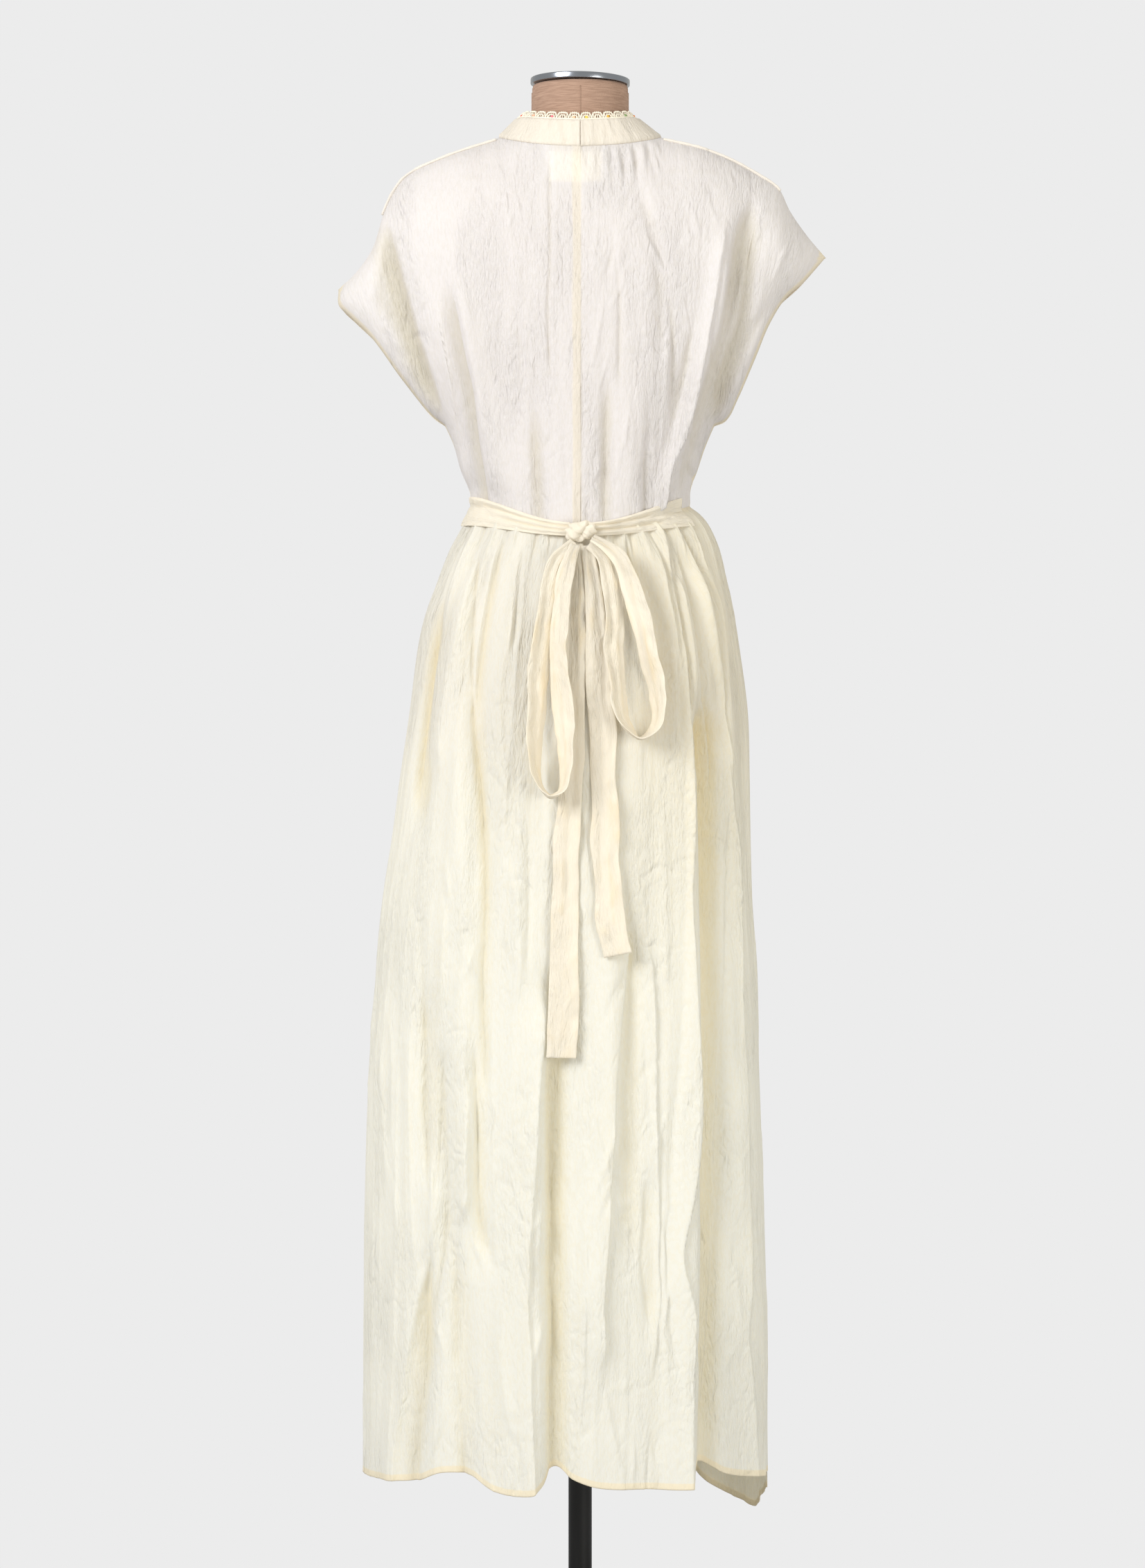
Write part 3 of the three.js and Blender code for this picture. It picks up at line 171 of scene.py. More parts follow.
WAIST_GATHERS = {"count": 18, "out": {BACK: 1.1, FRONT: 3.0}, "full": 70, "fade": 420, "left": 0.25}
NECK_GATHERS = {"from": 6, "to": 84, "count": 7, "out": 1.3, "length": 60}

# Tucks that the waist seam holds, by turn in degrees, with width, depth and length below it.
WAIST_TUCKS = {
    BACK: table(
        "turn width out length",
        (-80, 4, 2.0, 150), (-71, 5, -2.4, 120), (-63, 4, 2.2, 180), (-55, 4, -2.6, 90),
        (-47, 5, 2.4, 240), (-39, 4, -2.0, 130), (-34, 4, 2.2, 70), (-22, 3, -2.6, 60),
        (-19, 3, 2.2, 50), (-15, 3, -2.2, 45), (-9, 4, 1.6, 60), (8, 4, -1.8, 50),
        (12, 3, 2.0, 60), (16, 3, -2.4, 90), (20, 4, 2.4, 150), (24, 3, -2.8, 170),
        (29, 4, 2.4, 110), (34, 3, -2.6, 150), (39, 4, 2.8, 260), (44, 3, -3.0, 300),
        (49, 4, 2.6, 170), (54, 3, -2.8, 240), (59, 4, 2.8, 260), (64, 3, -2.8, 220),
        (70, 4, 2.4, 160), (76, 4, -2.2, 200), (82, 4, 1.8, 150),
    ),
    FRONT: table(
        "turn width out length",
        (-82, 4, 1.8, 150), (-75, 4, -2.4, 120), (-68, 5, 2.4, 210), (-60, 4, -2.6, 140),
        (-53, 4, 2.6, 90), (-46, 4, -2.4, 200), (-38, 5, 2.6, 130), (-31, 4, -2.6, 80),
        (-25, 4, 2.2, 170), (-17, 4, -2.2, 110), (-10, 5, 2.4, 60), (-3, 4, -2.6, 130),
        (5, 4, 2.2, 90), (12, 4, -2.4, 180), (18, 5, 2.6, 120), (26, 4, -2.4, 70),
        (33, 4, 2.4, 220), (40, 4, -2.6, 150), (48, 5, 2.6, 100), (56, 4, -2.6, 190),
        (63, 4, 2.2, 130), (70, 4, -2.4, 90), (78, 4, 2.2, 170),
    ),
}


def crease(width, out, *route):
    """A crease in the cloth: half width, how far it moves out, and its route as (x, z).

    Two widths make it gentle on one side and steep on the other: first its side towards -X.
    """
    low, high = width if isinstance(width, tuple) else (width, width)
    return {"low": low, "high": high, "out": out, "route": route}


def crease_rows(*rows):
    return [crease(*row) for row in rows]


SKIRT_CREASES = {
    BACK: crease_rows(
        # pleats that fan out from the waist on the right
        ((7, 3), 5, (92, 1172), (101, 1140), (112, 1085), (121, 1020), (128, 950), (131, 880)),
        ((3, 6), -4, (97, 1172), (107, 1140), (119, 1085), (128, 1020), (134, 950), (137, 880)),
        ((6, 3), 4, (104, 1172), (116, 1135), (131, 1085), (143, 1020), (150, 940)),
        ((3, 5), -4, (109, 1172), (122, 1135), (137, 1085), (149, 1020), (156, 940)),
        ((7, 3), 4, (74, 1168), (82, 1120), (90, 1060), (95, 1000), (97, 930)),
        ((3, 5), -3, (79, 1168), (88, 1120), (96, 1060), (101, 1000), (103, 930)),
        # and narrower ones on the left
        ((6, 3), 3, (-84, 1165), (-96, 1110), (-108, 1040), (-116, 960)),
        ((3, 5), -3, (-79, 1165), (-90, 1110), (-102, 1040), (-110, 960)),
        ((5, 3), 2.5, (-62, 1160), (-70, 1100), (-76, 1020)),
        ((3, 4), -3, (-57, 1160), (-65, 1100), (-71, 1020)),
        # a swag hanging from the end of the left sash
        (5, 2, (-101, 1165), (-106, 1149), (-120, 1138), (-133, 1136)),
        (4, -1.5, (-97, 1160), (-101, 1144), (-116, 1131), (-131, 1128)),
        # under the sashes
        (7, -3, (-64, 1157), (-68, 1123), (-74, 1073)),
        (3, -2.5, (-44, 1161), (-40, 1137)),
        (3, 2, (-34, 1161), (-33, 1142)),
        (4, -4, (45, 1164), (52, 1142), (66, 1077), (76, 1016)),
        (
            (4, 2), -6.8, (44, 1168), (52, 1140), (58, 1115), (66, 1080), (72, 1055), (77, 1025),
            (81, 990),
        ),
        ((3, 2), -4.1, (76, 1168), (82, 1130), (86, 1105), (92, 1070)),
        ((4, 3), 4.7, (74, 1160), (80, 1138), (85, 1108), (92, 1070), (99, 1030), (104, 985)),
        ((5, 2.5), -6, (96, 1150), (102, 1105), (107, 1065), (112, 1025), (117, 970), (121, 900)),
        ((6, 3), -6.8, (104, 1164), (112, 1140), (125, 1095), (137, 1040), (147, 980), (154, 915)),
        ((6, 3), 5.4, (110, 1158), (122, 1125), (134, 1080), (143, 1035), (152, 980), (160, 900)),
        ((5, 3), -5.4, (117, 1158), (128, 1125), (144, 1065), (156, 990), (164, 905)),
        (
            (5, 2.5), -4.5, (-146, 1070), (-152, 1040), (-157, 1000), (-162, 960), (-168, 915),
            (-173, 870),
        ),
        (
            (16, 5), 3.5, (-58, 1150), (-66, 1100), (-73, 1060), (-80, 1025), (-84, 990), (-82, 955),
            (-79, 915), (-82, 850),
        ),
        (
            (16, 4), 3, (-104, 1150), (-118, 1100), (-128, 1060), (-140, 1010), (-147, 960), (-146, 900),
        ),
        (
            (6, 2.5), -5, (-104, 1160), (-111, 1090), (-113, 1010), (-111, 960), (-106, 920), (-101, 880),
            (-98, 830), (-97, 780), (-98, 740), (-100, 700), (-99, 660), (-97, 620), (-98, 570),
        ),
        (
            (7, 3), -5, (-110, 640), (-108, 590), (-106, 540), (-105, 500), (-104, 470), (-101, 445),
            (-94, 420), (-85, 385),
        ),
        (8, 3, (-143, 1048), (-148, 994), (-154, 908)),
        # between hip and knee
        (6, 2.5, (-142, 786), (-144, 715), (-147, 650)),
        (5, -3, (-170, 786), (-166, 707), (-162, 621)),
        (7, 3, (-81, 829), (-68, 786), (-63, 722), (-66, 664)),
        (5, -2.5, (-55, 872), (-52, 786), (-55, 693)),
        (6, -2.5, (45, 822), (49, 758), (52, 693)),
        (7, 2.5, (84, 887), (87, 779), (89, 679)),
        (4, -2, (66, 650), (71, 578), (74, 521)),
        (6, 2, (-210, 636), (-207, 550), (-202, 464)),
        (6, -2, (-188, 707), (-192, 636), (-189, 564)),
        # below the knee, left half
        (6, 4, (-149, 492), (-152, 391), (-154, 321)),
        (7, 4, (-116, 593), (-119, 478), (-111, 421)),
        (3, -1.5, (-95, 244), (-73, 241), (-54, 244)),
        (4, -2, (-78, 241), (-67, 206)),
        (8, 3, (-73, 421), (-83, 313), (-71, 213)),
        (5, -2, (-213, 349), (-207, 284), (-211, 234)),
        (5, 2, (-199, 492), (-190, 428), (-195, 378)),
        (
            (15, 4), 5, (-154, 520), (-156, 470), (-157, 430), (-160, 395), (-168, 365), (-174, 335),
            (-180, 300), (-184, 265), (-189, 230), (-194, 200), (-198, 100),
        ),
        (
            (9, 5), -5, (-150, 430), (-155, 380), (-158, 335), (-160, 290), (-166, 240), (-170, 205),
            (-176, 100),
        ),
        ((3, 2.5), 2.5, (-154, 500), (-153, 430), (-153, 390), (-156, 330)),
        (
            (7, 2.5), -4.5, (-143, 640), (-142, 580), (-140, 530), (-137, 485), (-138, 440), (-142, 405),
            (-148, 370), (-155, 322),
        ),
        ((4, 2.5), -3.5, (-164, 680), (-162, 620), (-161, 560), (-159, 500), (-156, 450)),
        ((5, 2.5), -3, (-129, 440), (-128, 380), (-127, 330), (-129, 275)),
        ((5, 2.5), -4, (-128, 300), (-124, 250), (-121, 205), (-118, 100)),
        ((3, 4), 3, (-131, 310), (-129, 280), (-124, 240), (-119, 190)),
        # the deep valley left of the middle
        (
            (15, 3.5), 5, (-34, 700), (-37, 650), (-41, 610), (-44, 560), (-46, 520), (-49, 480),
            (-53, 435), (-55, 390), (-55, 350), (-52, 305), (-52, 270), (-50, 220), (-46, 100),
        ),
        (
            (7, 4), -6, (-31, 640), (-31, 560), (-30, 500), (-29, 440), (-31, 400), (-28, 360),
            (-27, 330), (-30, 290), (-30, 240), (-28, 100),
        ),
        (4, 2.5, (-30, 515), (-44, 501)),
        (5, 2.5, (-34, 462), (-44, 449), (-53, 432)),
        (5, 3, (-26, 359), (-40, 335), (-52, 289)),
        # the flat ridge at the middle and the creases beside it
        (
            (24, 3), 6, (50, 760), (46, 715), (41, 670), (37, 625), (34, 580), (32, 540), (30, 500),
            (28, 460), (25, 410), (21, 365), (22, 335), (25, 290),
        ),
        (
            (8, 3), -2.5, (12, 700), (10, 640), (5, 590), (2, 545), (0, 500), (-2, 450), (-4, 410),
            (-7, 365), (-7, 320), (-4, 280),
        ),
        (
            (8, 2.5), 4, (70, 740), (75, 680), (77, 620), (77, 560), (78, 500), (79, 450), (77, 405),
            (79, 370), (77, 330), (73, 280),
        ),
        ((3, 5), -2.5, (68, 500), (66, 440), (64, 405), (68, 370), (73, 325)),
        (5, -4, (89, 464), (92, 389), (97, 321), (109, 270)),
        (4, 2, (31, 460), (49, 469), (66, 477)),
        (4, 2, (32, 434), (51, 441), (68, 452)),
        (4, 1.5, (38, 405), (56, 416)),
        (5, 3, (22, 288), (31, 234), (40, 197), (45, 178)),
        (4, -2, (-6, 216), (3, 227), (15, 243)),
        (4, 1.6, (25, 270), (45, 277), (63, 284)),
        (5, -2.5, (66, 249), (77, 220), (81, 184)),
        # the overlapping fold on the right, with two crisp edges, and the cloth beyond it
        (
            (17, 3), 7, (80, 1180), (90, 1130), (97, 1098), (101, 1068), (105, 1038), (108, 1000),
            (111, 960), (113, 920), (114, 870), (113, 820), (112, 785), (113, 750), (115, 710),
            (117, 670), (120, 610), (121, 570), (119, 530), (116, 495), (110, 455), (104, 425),
            (103, 400), (108, 378), (114, 352), (115, 310), (113, 240), (113, 100),
        ),
        (
            (8, 3), -4, (107, 960), (109, 860), (108, 740), (107, 660), (104, 590), (99, 540), (96, 480),
            (95, 430), (94, 360),
        ),
        (
            (15, 4), 4.5, (148, 960), (158, 880), (165, 830), (167, 780), (168, 700), (168, 660),
            (171, 620), (173, 580), (174, 520), (175, 460), (176, 400), (175, 360), (172, 320),
            (175, 290), (178, 260), (180, 230), (184, 100),
        ),
        (
            (3, 5), -3, (158, 900), (154, 800), (152, 700), (149, 640), (145, 590), (142, 530),
            (141, 460), (137, 380), (131, 300), (122, 220),
        ),
        (4, -3, (180, 402), (185, 378), (191, 348)),
        (7, 2.5, (152, 428), (161, 385), (165, 306)),
    ),
    FRONT: crease_rows(
        (6, -3, (-70, 1160), (-78, 1110), (-84, 1050)),
        (6, 3, (-52, 1165), (-58, 1100), (-66, 1010)),
        (5, -4, (30, 1165), (36, 1100), (42, 1020), (44, 960)),
        (6, 3, (56, 1160), (66, 1090), (74, 1000)),
        (5, -4, (96, 1160), (112, 1090), (126, 1000), (134, 920)),
        (6, 3, (-104, 1150), (-124, 1080), (-140, 980)),
        (7, 3, (-20, 860), (-14, 780), (-22, 690)),
        (5, -3, (8, 820), (4, 740), (10, 660)),
        (6, 2.5, (78, 800), (84, 720), (80, 620)),
        (6, -3, (-112, 780), (-120, 690), (-116, 600)),
        (6, 4, (-168, 560), (-172, 470), (-164, 380)),
        (5, -4, (-132, 520), (-128, 430), (-138, 340)),
        (8, 4, (-84, 470), (-78, 380), (-88, 280)),
        (5, -3, (-40, 430), (-46, 350), (-36, 260)),
        (6, 4, (2, 520), (-4, 430), (6, 330), (0, 250)),
        (5, -4, (44, 460), (40, 380), (52, 290), (48, 200)),
        (7, 4, (86, 420), (92, 330), (84, 240)),
        (5, -4, (124, 500), (120, 400), (130, 300), (126, 200)),
        (7, 3, (150, 440), (158, 340), (154, 240)),
        (4, 2, (-110, 330), (-92, 342), (-72, 336)),
        (4, 2, (20, 300), (38, 312), (60, 306)),
        (4, 1.6, (-60, 240), (-40, 232), (-22, 240)),
        (5, -3, (-176, 300), (-170, 240), (-180, 190)),
        (5, -3, (176, 300), (172, 230), (180, 170)),
    ),
}
BODICE_CREASES = {
    BACK: crease_rows(
        # the folds that run from the sleeves to the ends of the sashes
        (
            (20, 2.5), -12, (-206, 1500), (-197, 1466), (-190, 1438), (-182, 1408), (-173, 1376),
            (-163, 1345), (-153, 1315), (-140, 1275),
        ),
        (
            (15, 6), 6, (-156, 1427), (-143, 1355), (-135, 1311), (-128, 1263), (-116, 1212),
            (-108, 1150),
        ),
        (
            (10, 2.5), -6, (-137, 1432), (-124, 1355), (-115, 1311), (-109, 1263), (-101, 1212),
            (-95, 1150),
        ),
        (
            (2.5, 24), 4, (-131, 1432), (-118, 1355), (-109, 1311), (-103, 1263), (-95, 1212),
            (-89, 1150),
        ),
        (
            (8, 3), 7, (152, 1500), (147, 1455), (140, 1410), (133, 1370), (126, 1335), (117, 1300),
            (106, 1265), (95, 1235), (86, 1200), (76, 1150),
        ),
        ((8, 3), -4, (122, 1400), (112, 1335), (104, 1300), (97, 1265), (90, 1230), (80, 1180)),
        ((20, 4), -7, (186, 1510), (181, 1430), (176, 1385), (164, 1350), (152, 1312), (138, 1268)),
        # down the middle of the back
        ((3, 2), -3, (-31, 1590), (-31, 1500), (-31, 1440), (-33, 1400), (-32, 1360), (-30, 1300)),
        ((9, 5), -4, (-46, 1300), (-45, 1250), (-43, 1215), (-41, 1130)),
        ((7, 5), -4, (31, 1330), (29, 1260), (28, 1215), (28, 1130)),
        ((6, 4), -3.5, (71, 1280), (70, 1230), (70, 1140)),
        (3, 2.2, (65, 1502), (70, 1468), (87, 1435), (99, 1395)),
        (3, 2, (66, 1395), (69, 1362), (80, 1345)),
        (3, 2, (118, 1502), (121, 1486), (124, 1469)),
        (3, -1.5, (111, 1505), (118, 1473)),
        (2.5, 2, (77, 1570), (80, 1552), (84, 1532)),
        (4, 3, (-209, 1411), (-206, 1385), (-196, 1365), (-191, 1350)),
        (4, -3, (-201, 1415), (-196, 1390), (-188, 1371)),
        (4, -2.5, (36, 1465), (42, 1408), (40, 1292)),
        (4, -2.5, (94, 1433), (98, 1357), (96, 1277)),
        (4, 2, (87, 1429), (90, 1357), (89, 1285)),
        (4, 1.8, (-82, 1422), (-88, 1379), (-91, 1328)),
        (5, -1.6, (-67, 1415), (-63, 1342), (-67, 1270)),
        (3, -1.6, (-49, 1245), (-36, 1256), (-27, 1274)),
        (3, 1.5, (9, 1212), (18, 1227), (22, 1245)),
        (6, -2, (197, 1509), (189, 1465), (183, 1429)),
        (5, 1.8, (219, 1480), (210, 1451), (199, 1422)),
        (3, -3, (115, 1245), (118, 1233), (121, 1219)),
        (6, 1.2, (-172, 1531), (-164, 1502), (-167, 1465)),
        (6, -1.2, (-107, 1552), (-99, 1509), (-101, 1465)),
    ),
    FRONT: crease_rows(
        (5, -4, (-138, 1440), (-126, 1370), (-112, 1290), (-100, 1220)),
        (5, 3, (-150, 1420), (-136, 1350), (-122, 1280)),
        (4, -3, (-66, 1400), (-60, 1320), (-50, 1240)),
        (5, 2.4, (-36, 1340), (-30, 1270), (-26, 1205)),
        (4, -2.4, (6, 1360), (2, 1290), (8, 1215)),
        (5, 2.6, (44, 1350), (38, 1280), (34, 1210)),
        (4, -3, (72, 1400), (66, 1320), (56, 1240)),
        (5, 3, (148, 1430), (136, 1350), (118, 1270)),
        (5, -4, (166, 1460), (150, 1380), (128, 1300), (108, 1230)),
        (4, -3, (-204, 1420), (-190, 1380), (-170, 1340)),
        (4, 2.5, (216, 1450), (196, 1410), (176, 1370)),
        (3, 2, (-96, 1500), (-92, 1460), (-84, 1420)),
        (3, 2, (102, 1500), (96, 1455), (90, 1415)),
    ),
}

# Outline of one side of the bodice: shoulder and sleeve top from the neck outward, sleeve mouth
# from the underarm to the tip, and side seam from the waist to the underarm, as (x, z).
OUTLINE = {
    LEFT: {
        "shoulder": (
            (-86, 1588), (-116, 1578), (-146, 1567), (-184, 1549), (-197, 1533),
            (-208, 1510), (-221, 1471), (-237, 1448), (-258, 1428),
        ),
        "mouth": (
            (-144, 1282), (-159, 1293), (-189, 1329), (-221, 1373), (-243, 1395),
            (-257, 1410), (-258, 1428),
        ),
        "side": ((-115, 1196), (-116, 1212), (-127, 1235), (-135, 1262), (-144, 1282)),
    },
    RIGHT: {
        "shoulder": (
            (86, 1588), (131, 1577), (162, 1565), (191, 1549), (211, 1535),
            (224, 1510), (242, 1485), (262, 1462),
        ),
        "mouth": (
            (143, 1282), (157, 1289), (168, 1310), (186, 1352), (200, 1386),
            (217, 1414), (238, 1434), (262, 1462),
        ),
        "side": ((117, 1196), (117, 1212), (125, 1234), (133, 1258), (143, 1282)),
    },
}
BODICE_DEPTH = table(
    "z back front",
    (1170, 90, 94), (1196, 90, 94), (1230, 91, 99), (1290, 96, 112), (1360, 101, 122),
    (1430, 103, 116), (1480, 98, 104), (1520, 88, 92), (1550, 76, 76), (1575, 66, 60),
    (1600, 62, 56),
)
UNDERARM_ROW = 0.3  # share of a panel's height that its side seam takes
SLEEVE_MOUTH = 34  # half the opening of the sleeve, front to back
SEAM_DEPTH = {"neck": 14, "shoulder": 11, "tip": 0}  # shoulder seam lies behind the middle
CROWN = {"neck": 95, "shoulder": 80, "sleeve": 42}  # height in which the cloth rounds over
NECK_SHARE = 1 / 3  # share of a panel's width that its neckline takes
SHOULDER_ROW = 11 / 12  # how far up the back the cord of the shoulder seam lies
UNDERARM = {"z": 1290, "reach": 48, "passes": 110}  # where and how far its bend is spread
CREASE_PRESS = 3.4  # how far creases may press the cloth in towards the form

# Heights over which folds and creases begin and end.
SKIRT_FADES = {"folds": 70, "creases": 40}
BODICE_FADES = {"folds": 45, "creases": 55}

# Neckline on the +X side, where the neckband is sewn on, and the band's free edge.
NECKLINE_BACK = table("x y z", (0, -67, 1571), (44, -57, 1575), (73, -37, 1582), (86, -14, 1588))
NECKLINE_FRONT = table(
    "x z", (86, 1588), (83, 1577), (69, 1541), (48, 1499), (24, 1456), (0, 1422)
)
BAND_EDGE_BACK = table(
    "left right y z",
    (0, 0, -60, 1600), (38, 36, -50, 1603), (59, 54, -31, 1607), (67, 60, -9, 1609),
)
BAND_EDGE_FRONT = table(
    "left right z lift",
    (67, 60, 1609, 1), (60, 58, 1588, 2), (45, 45, 1553, 2), (25, 25, 1514, 2),
    (9, 9, 1487, 2), (0, 0, 1473, 2),
)

# Level sections of the dress form.
FORM = table(
    "z wide back front power",
    (906, 112, 66, 62, 2.1), (916, 136, 84, 78, 2.1), (945, 152, 97, 90, 2.1),
    (990, 157, 103, 94, 2.1), (1050, 149, 99, 90, 2.1), (1110, 124, 87, 84, 2.1),
    (1160, 106, 76, 78, 2.1), (1190, 103, 74, 78, 2.1), (1230, 108, 76, 84, 2.1),
    (1290, 127, 82, 100, 2.1), (1350, 141, 88, 111, 2.1), (1400, 151, 91, 108, 2.1),
    (1450, 163, 90, 97, 2.1), (1490, 173, 84, 84, 2.1), (1522, 179, 74, 70, 2.1),
    (1543, 177, 62, 56, 2.1), (1555, 162, 56, 50, 2), (1565, 140, 53, 50, 1.8),
    (1574, 112, 51, 50, 1.6), (1581, 80, 50, 50, 1.6), (1589, 61, 50, 50, 1.8),
    (1600, 53, 50, 50, 2), (1645, 51, 50, 50, 2),
)
TORSO = {"sides": 96, "neck_seam": 1592, "seams": (912, 1640, 6.0)}
CAP = {"radius": 53, "height": 7, "tilt": 1, "gap": 1.3}
POLE = {"radius": 12.5, "foot": 24, "collar": 30}
CORE = 0.3  # turned bodies stop this far from their axis
BASE = {"radius": 170, "edge": 6, "height": 12, "crown": 18, "hub": 32}

# Sashes over the waist seam, and the ribbons that hang from the knot: centre line, distance off
# the skirt, yaw of the width, and width.
SASH = {
    "side_z": 1190, "back_z": 1166, "side": 15.5, "back": 7, "off": 0.8, "lift": 3.2, "flare": 0.17,
    "rise": 6.4, "cloth": 2.2,
}
SASH_ENDS = {"left": -84, "right": 63, "knot": 5}
KNOT = {"x": 0.5, "z": 1163.5, "wide": 33, "high": 21, "deep": 14, "off": 1.5, "sides": 72, "rings": 48}
RIBBONS = {
    "bow_loop_left": table(
        "x z off yaw width",
        (-8, 1153.5, 12.5, 10, 8), (-23, 1132, 14, 25, 19), (-34, 1085, 15, 35, 25),
        (-43, 1030, 15, 38, 26), (-46, 980, 15, 45, 28), (-47, 930, 20, 60, 28),
        (-43, 902, 22, 78, 28), (-31, 887, 23, 92, 28), (-18, 897, 23, 105, 28),
        (-15, 935, 22, 125, 28), (-18, 985, 17, 138, 27), (-22, 1030, 17, 143, 25),
        (-22, 1080, 18, 148, 22), (-14, 1122, 19, 160, 18), (-4, 1149, 15, 170, 11),
    ),
    "bow_loop_right": table(
        "x z off yaw width",
        (9, 1150, 10.5, 0, 12), (26, 1136, 12, 15, 20), (34, 1100, 14, 30, 23),
        (36, 1040, 14, 35, 24), (38, 1000, 15, 45, 26), (44, 968, 16, 65, 30),
        (61, 948, 17, 88, 30), (77, 958, 17, 108, 30), (80, 990, 18, 125, 28),
        (74, 1024, 20, 138, 26), (64, 1062, 23, 145, 24), (53, 1100, 26, 150, 22),
        (40, 1134, 27, 158, 18), (13, 1157, 17, 168, 8),
    ),
    "sash_tail_left": table(
        "x z off yaw width",
        (-4, 1151, 5, 0, 11), (-5, 1100, 3.5, -4, 22), (-6, 1040, 3.5, 6, 25),
        (-7, 980, 3.5, -4, 24), (-8, 920, 4, 4, 25), (-13, 850, 4, -5, 27),
        (-17, 780, 4, 5, 28), (-18, 710, 6, -4, 29), (-19, 660, 7, 3, 30), (-20, 617, 8, 0, 30),
    ),
    "sash_tail_right": table(
        "x z off yaw width",
        (8, 1149, 6.5, 0, 12), (15, 1090, 7, 5, 20), (19, 1030, 6, -4, 25),
        (22, 970, 4.5, 5, 27), (24, 900, 4, -4, 28), (26, 840, 4.5, 4, 29),
        (29, 780, 5, -3, 29), (39, 723, 5, 0, 29),
    ),
}

# Lengthwise creases of each sash: place across it at the seam and at the knot (from -0.5 at its
# lower edge to 0.5), half width as a share, how far out, and the shares between which it runs.
SASH_CREASES = {
    "left": (
        (0.30, 0.20, 0.10, -2.0, 0.20, 1.1), (0.12, 0.05, 0.09, 2.2, 0.30, 1.1),
        (0.02, -0.10, 0.07, -2.2, 0.42, 1.1), (0.42, 0.34, 0.10, 1.6, 0.05, 1.1),
        (-0.20, -0.25, 0.10, 1.4, 0.1, 1.1), (-0.36, -0.38, 0.06, -1.2, 0.5, 1.1),
        (0.22, 0.1, 0.06, -1.3, -0.1, 0.35),
    ),
    "right": (
        (-0.30, -0.05, 0.09, -2.4, 0.25, 1.1), (-0.12, 0.12, 0.10, 2.4, 0.2, 1.1),
        (0.12, 0.28, 0.08, -2.0, 0.35, 1.1), (0.34, 0.40, 0.10, 1.6, 0.05, 1.1),
        (-0.38, -0.30, 0.08, 1.6, 0.5, 1.1), (0.0, 0.15, 0.05, -1.4, -0.1, 0.5),
        (-0.45, -0.2, 0.06, -1.2, -0.1, 0.4),
    ),
}
RIBBON_CREASES = {
    "bow_loop_left": (
        (0.20, 0.10, 0.12, -1.5, -0.1, 0.5), (-0.15, -0.2, 0.12, 1.6, -0.1, 0.6),
        (-0.32, 0.1, 0.1, -1.2, 0.3, 0.8), (0.3, 0.0, 0.1, 1.2, 0.5, 1.1),
        (0.0, 0.2, 0.1, -1.4, 0.6, 1.1),
    ),
    "bow_loop_right": (
        (0.1, 0.25, 0.1, -1.5, -0.1, 0.5), (-0.2, -0.1, 0.14, 1.8, -0.1, 0.6),
        (0.3, 0.2, 0.1, 1.1, 0.2, 0.7), (-0.3, 0.0, 0.1, -1.3, 0.4, 1.1),
        (0.15, 0.25, 0.1, 1.5, 0.5, 1.1),
    ),
    "sash_tail_left": (
        (0.25, 0.05, 0.1, -1.6, -0.1, 0.35), (-0.2, -0.3, 0.12, 1.8, -0.1, 0.4),
        (0.0, 0.25, 0.14, 1.4, 0.1, 0.8), (-0.3, -0.05, 0.08, -1.1, 0.3, 0.9),
        (0.3, -0.2, 0.1, 0.9, 0.5, 1.1),
    ),
    "sash_tail_right": (
        (-0.2, -0.05, 0.1, -1.6, -0.1, 0.4), (0.2, 0.3, 0.12, 1.8, -0.1, 0.5),
        (0.0, -0.25, 0.14, 1.3, 0.1, 0.9), (0.3, 0.1, 0.08, -1.0, 0.4, 1.0),
    ),
}

# Neckband: its cloth, crochet edging and beads (with their colours in turn from the middle of the
# back). Its creases are given by distance from there, lean, height and half width.
BAND = {"cloth": 2.0, "width": 29, "rows": 12, "steps": 160}
TRIM = {"pitch": 13, "peak": 7, "cord": 0.65}
BEAD_GAP = 24
BEADS = (
    (232, 206, 92), (214, 170, 70), (120, 150, 90), (232, 140, 70), (60, 60, 62),
    (214, 96, 84), (236, 178, 150), (226, 120, 132), (240, 196, 160),
)
BAND_PLEATS = {
    LEFT: (
        (7, 5, -1.0, 2.4), (13, 9, 0.8, 2.6), (19, 12, -0.9, 2.6), (33, 7, -0.5, 3.0),
        (52, 6, 0.5, 4.0),
    ),
    RIGHT: ((12, 2, -0.5, 2.5), (29, 4, 0.5, 3.0), (44, 5, -0.5, 3.0), (61, 5, 0.4, 4.0)),
}

# Short pleats under the back neckband: place across, how far out, length and lean.
NECK_PLEATS = table(
    "x out length lean",
    (8, -1.6, 38, 0), (13, 1.4, 46, 1), (19, -1.8, 60, 1), (25, 1.6, 42, 2), (31, -1.8, 70, 3),
    (37, 1.5, 52, 4), (43, -1.7, 60, 5), (50, 1.5, 44, 5), (57, -1.7, 66, 6), (64, 1.5, 58, 7),
    (71, -1.6, 50, 8), (78, 1.2, 38, 8), (-14, -0.9, 34, -1), (-36, -1.0, 40, -3),
    (-60, -1.1, 46, -6), (-72, 0.9, 36, -7),
)

# Hems turned under: heights, the rows of the skirt's, and the gap to the cloth over them.
SKIRT_HEM = {"height": 7.0, "rows": 5, "gap": 1.3}
SLEEVE_HEM = {"width": 12.0, "gap": 1.4}

# Cells of the full grids: across and down each skirt panel, across and up each half bodice.
SKIRT_GRIDS = {BACK: (415, 222), FRONT: (300, 175)}
BODICE_GRIDS = {BACK: (150, 170), FRONT: (130, 150)}

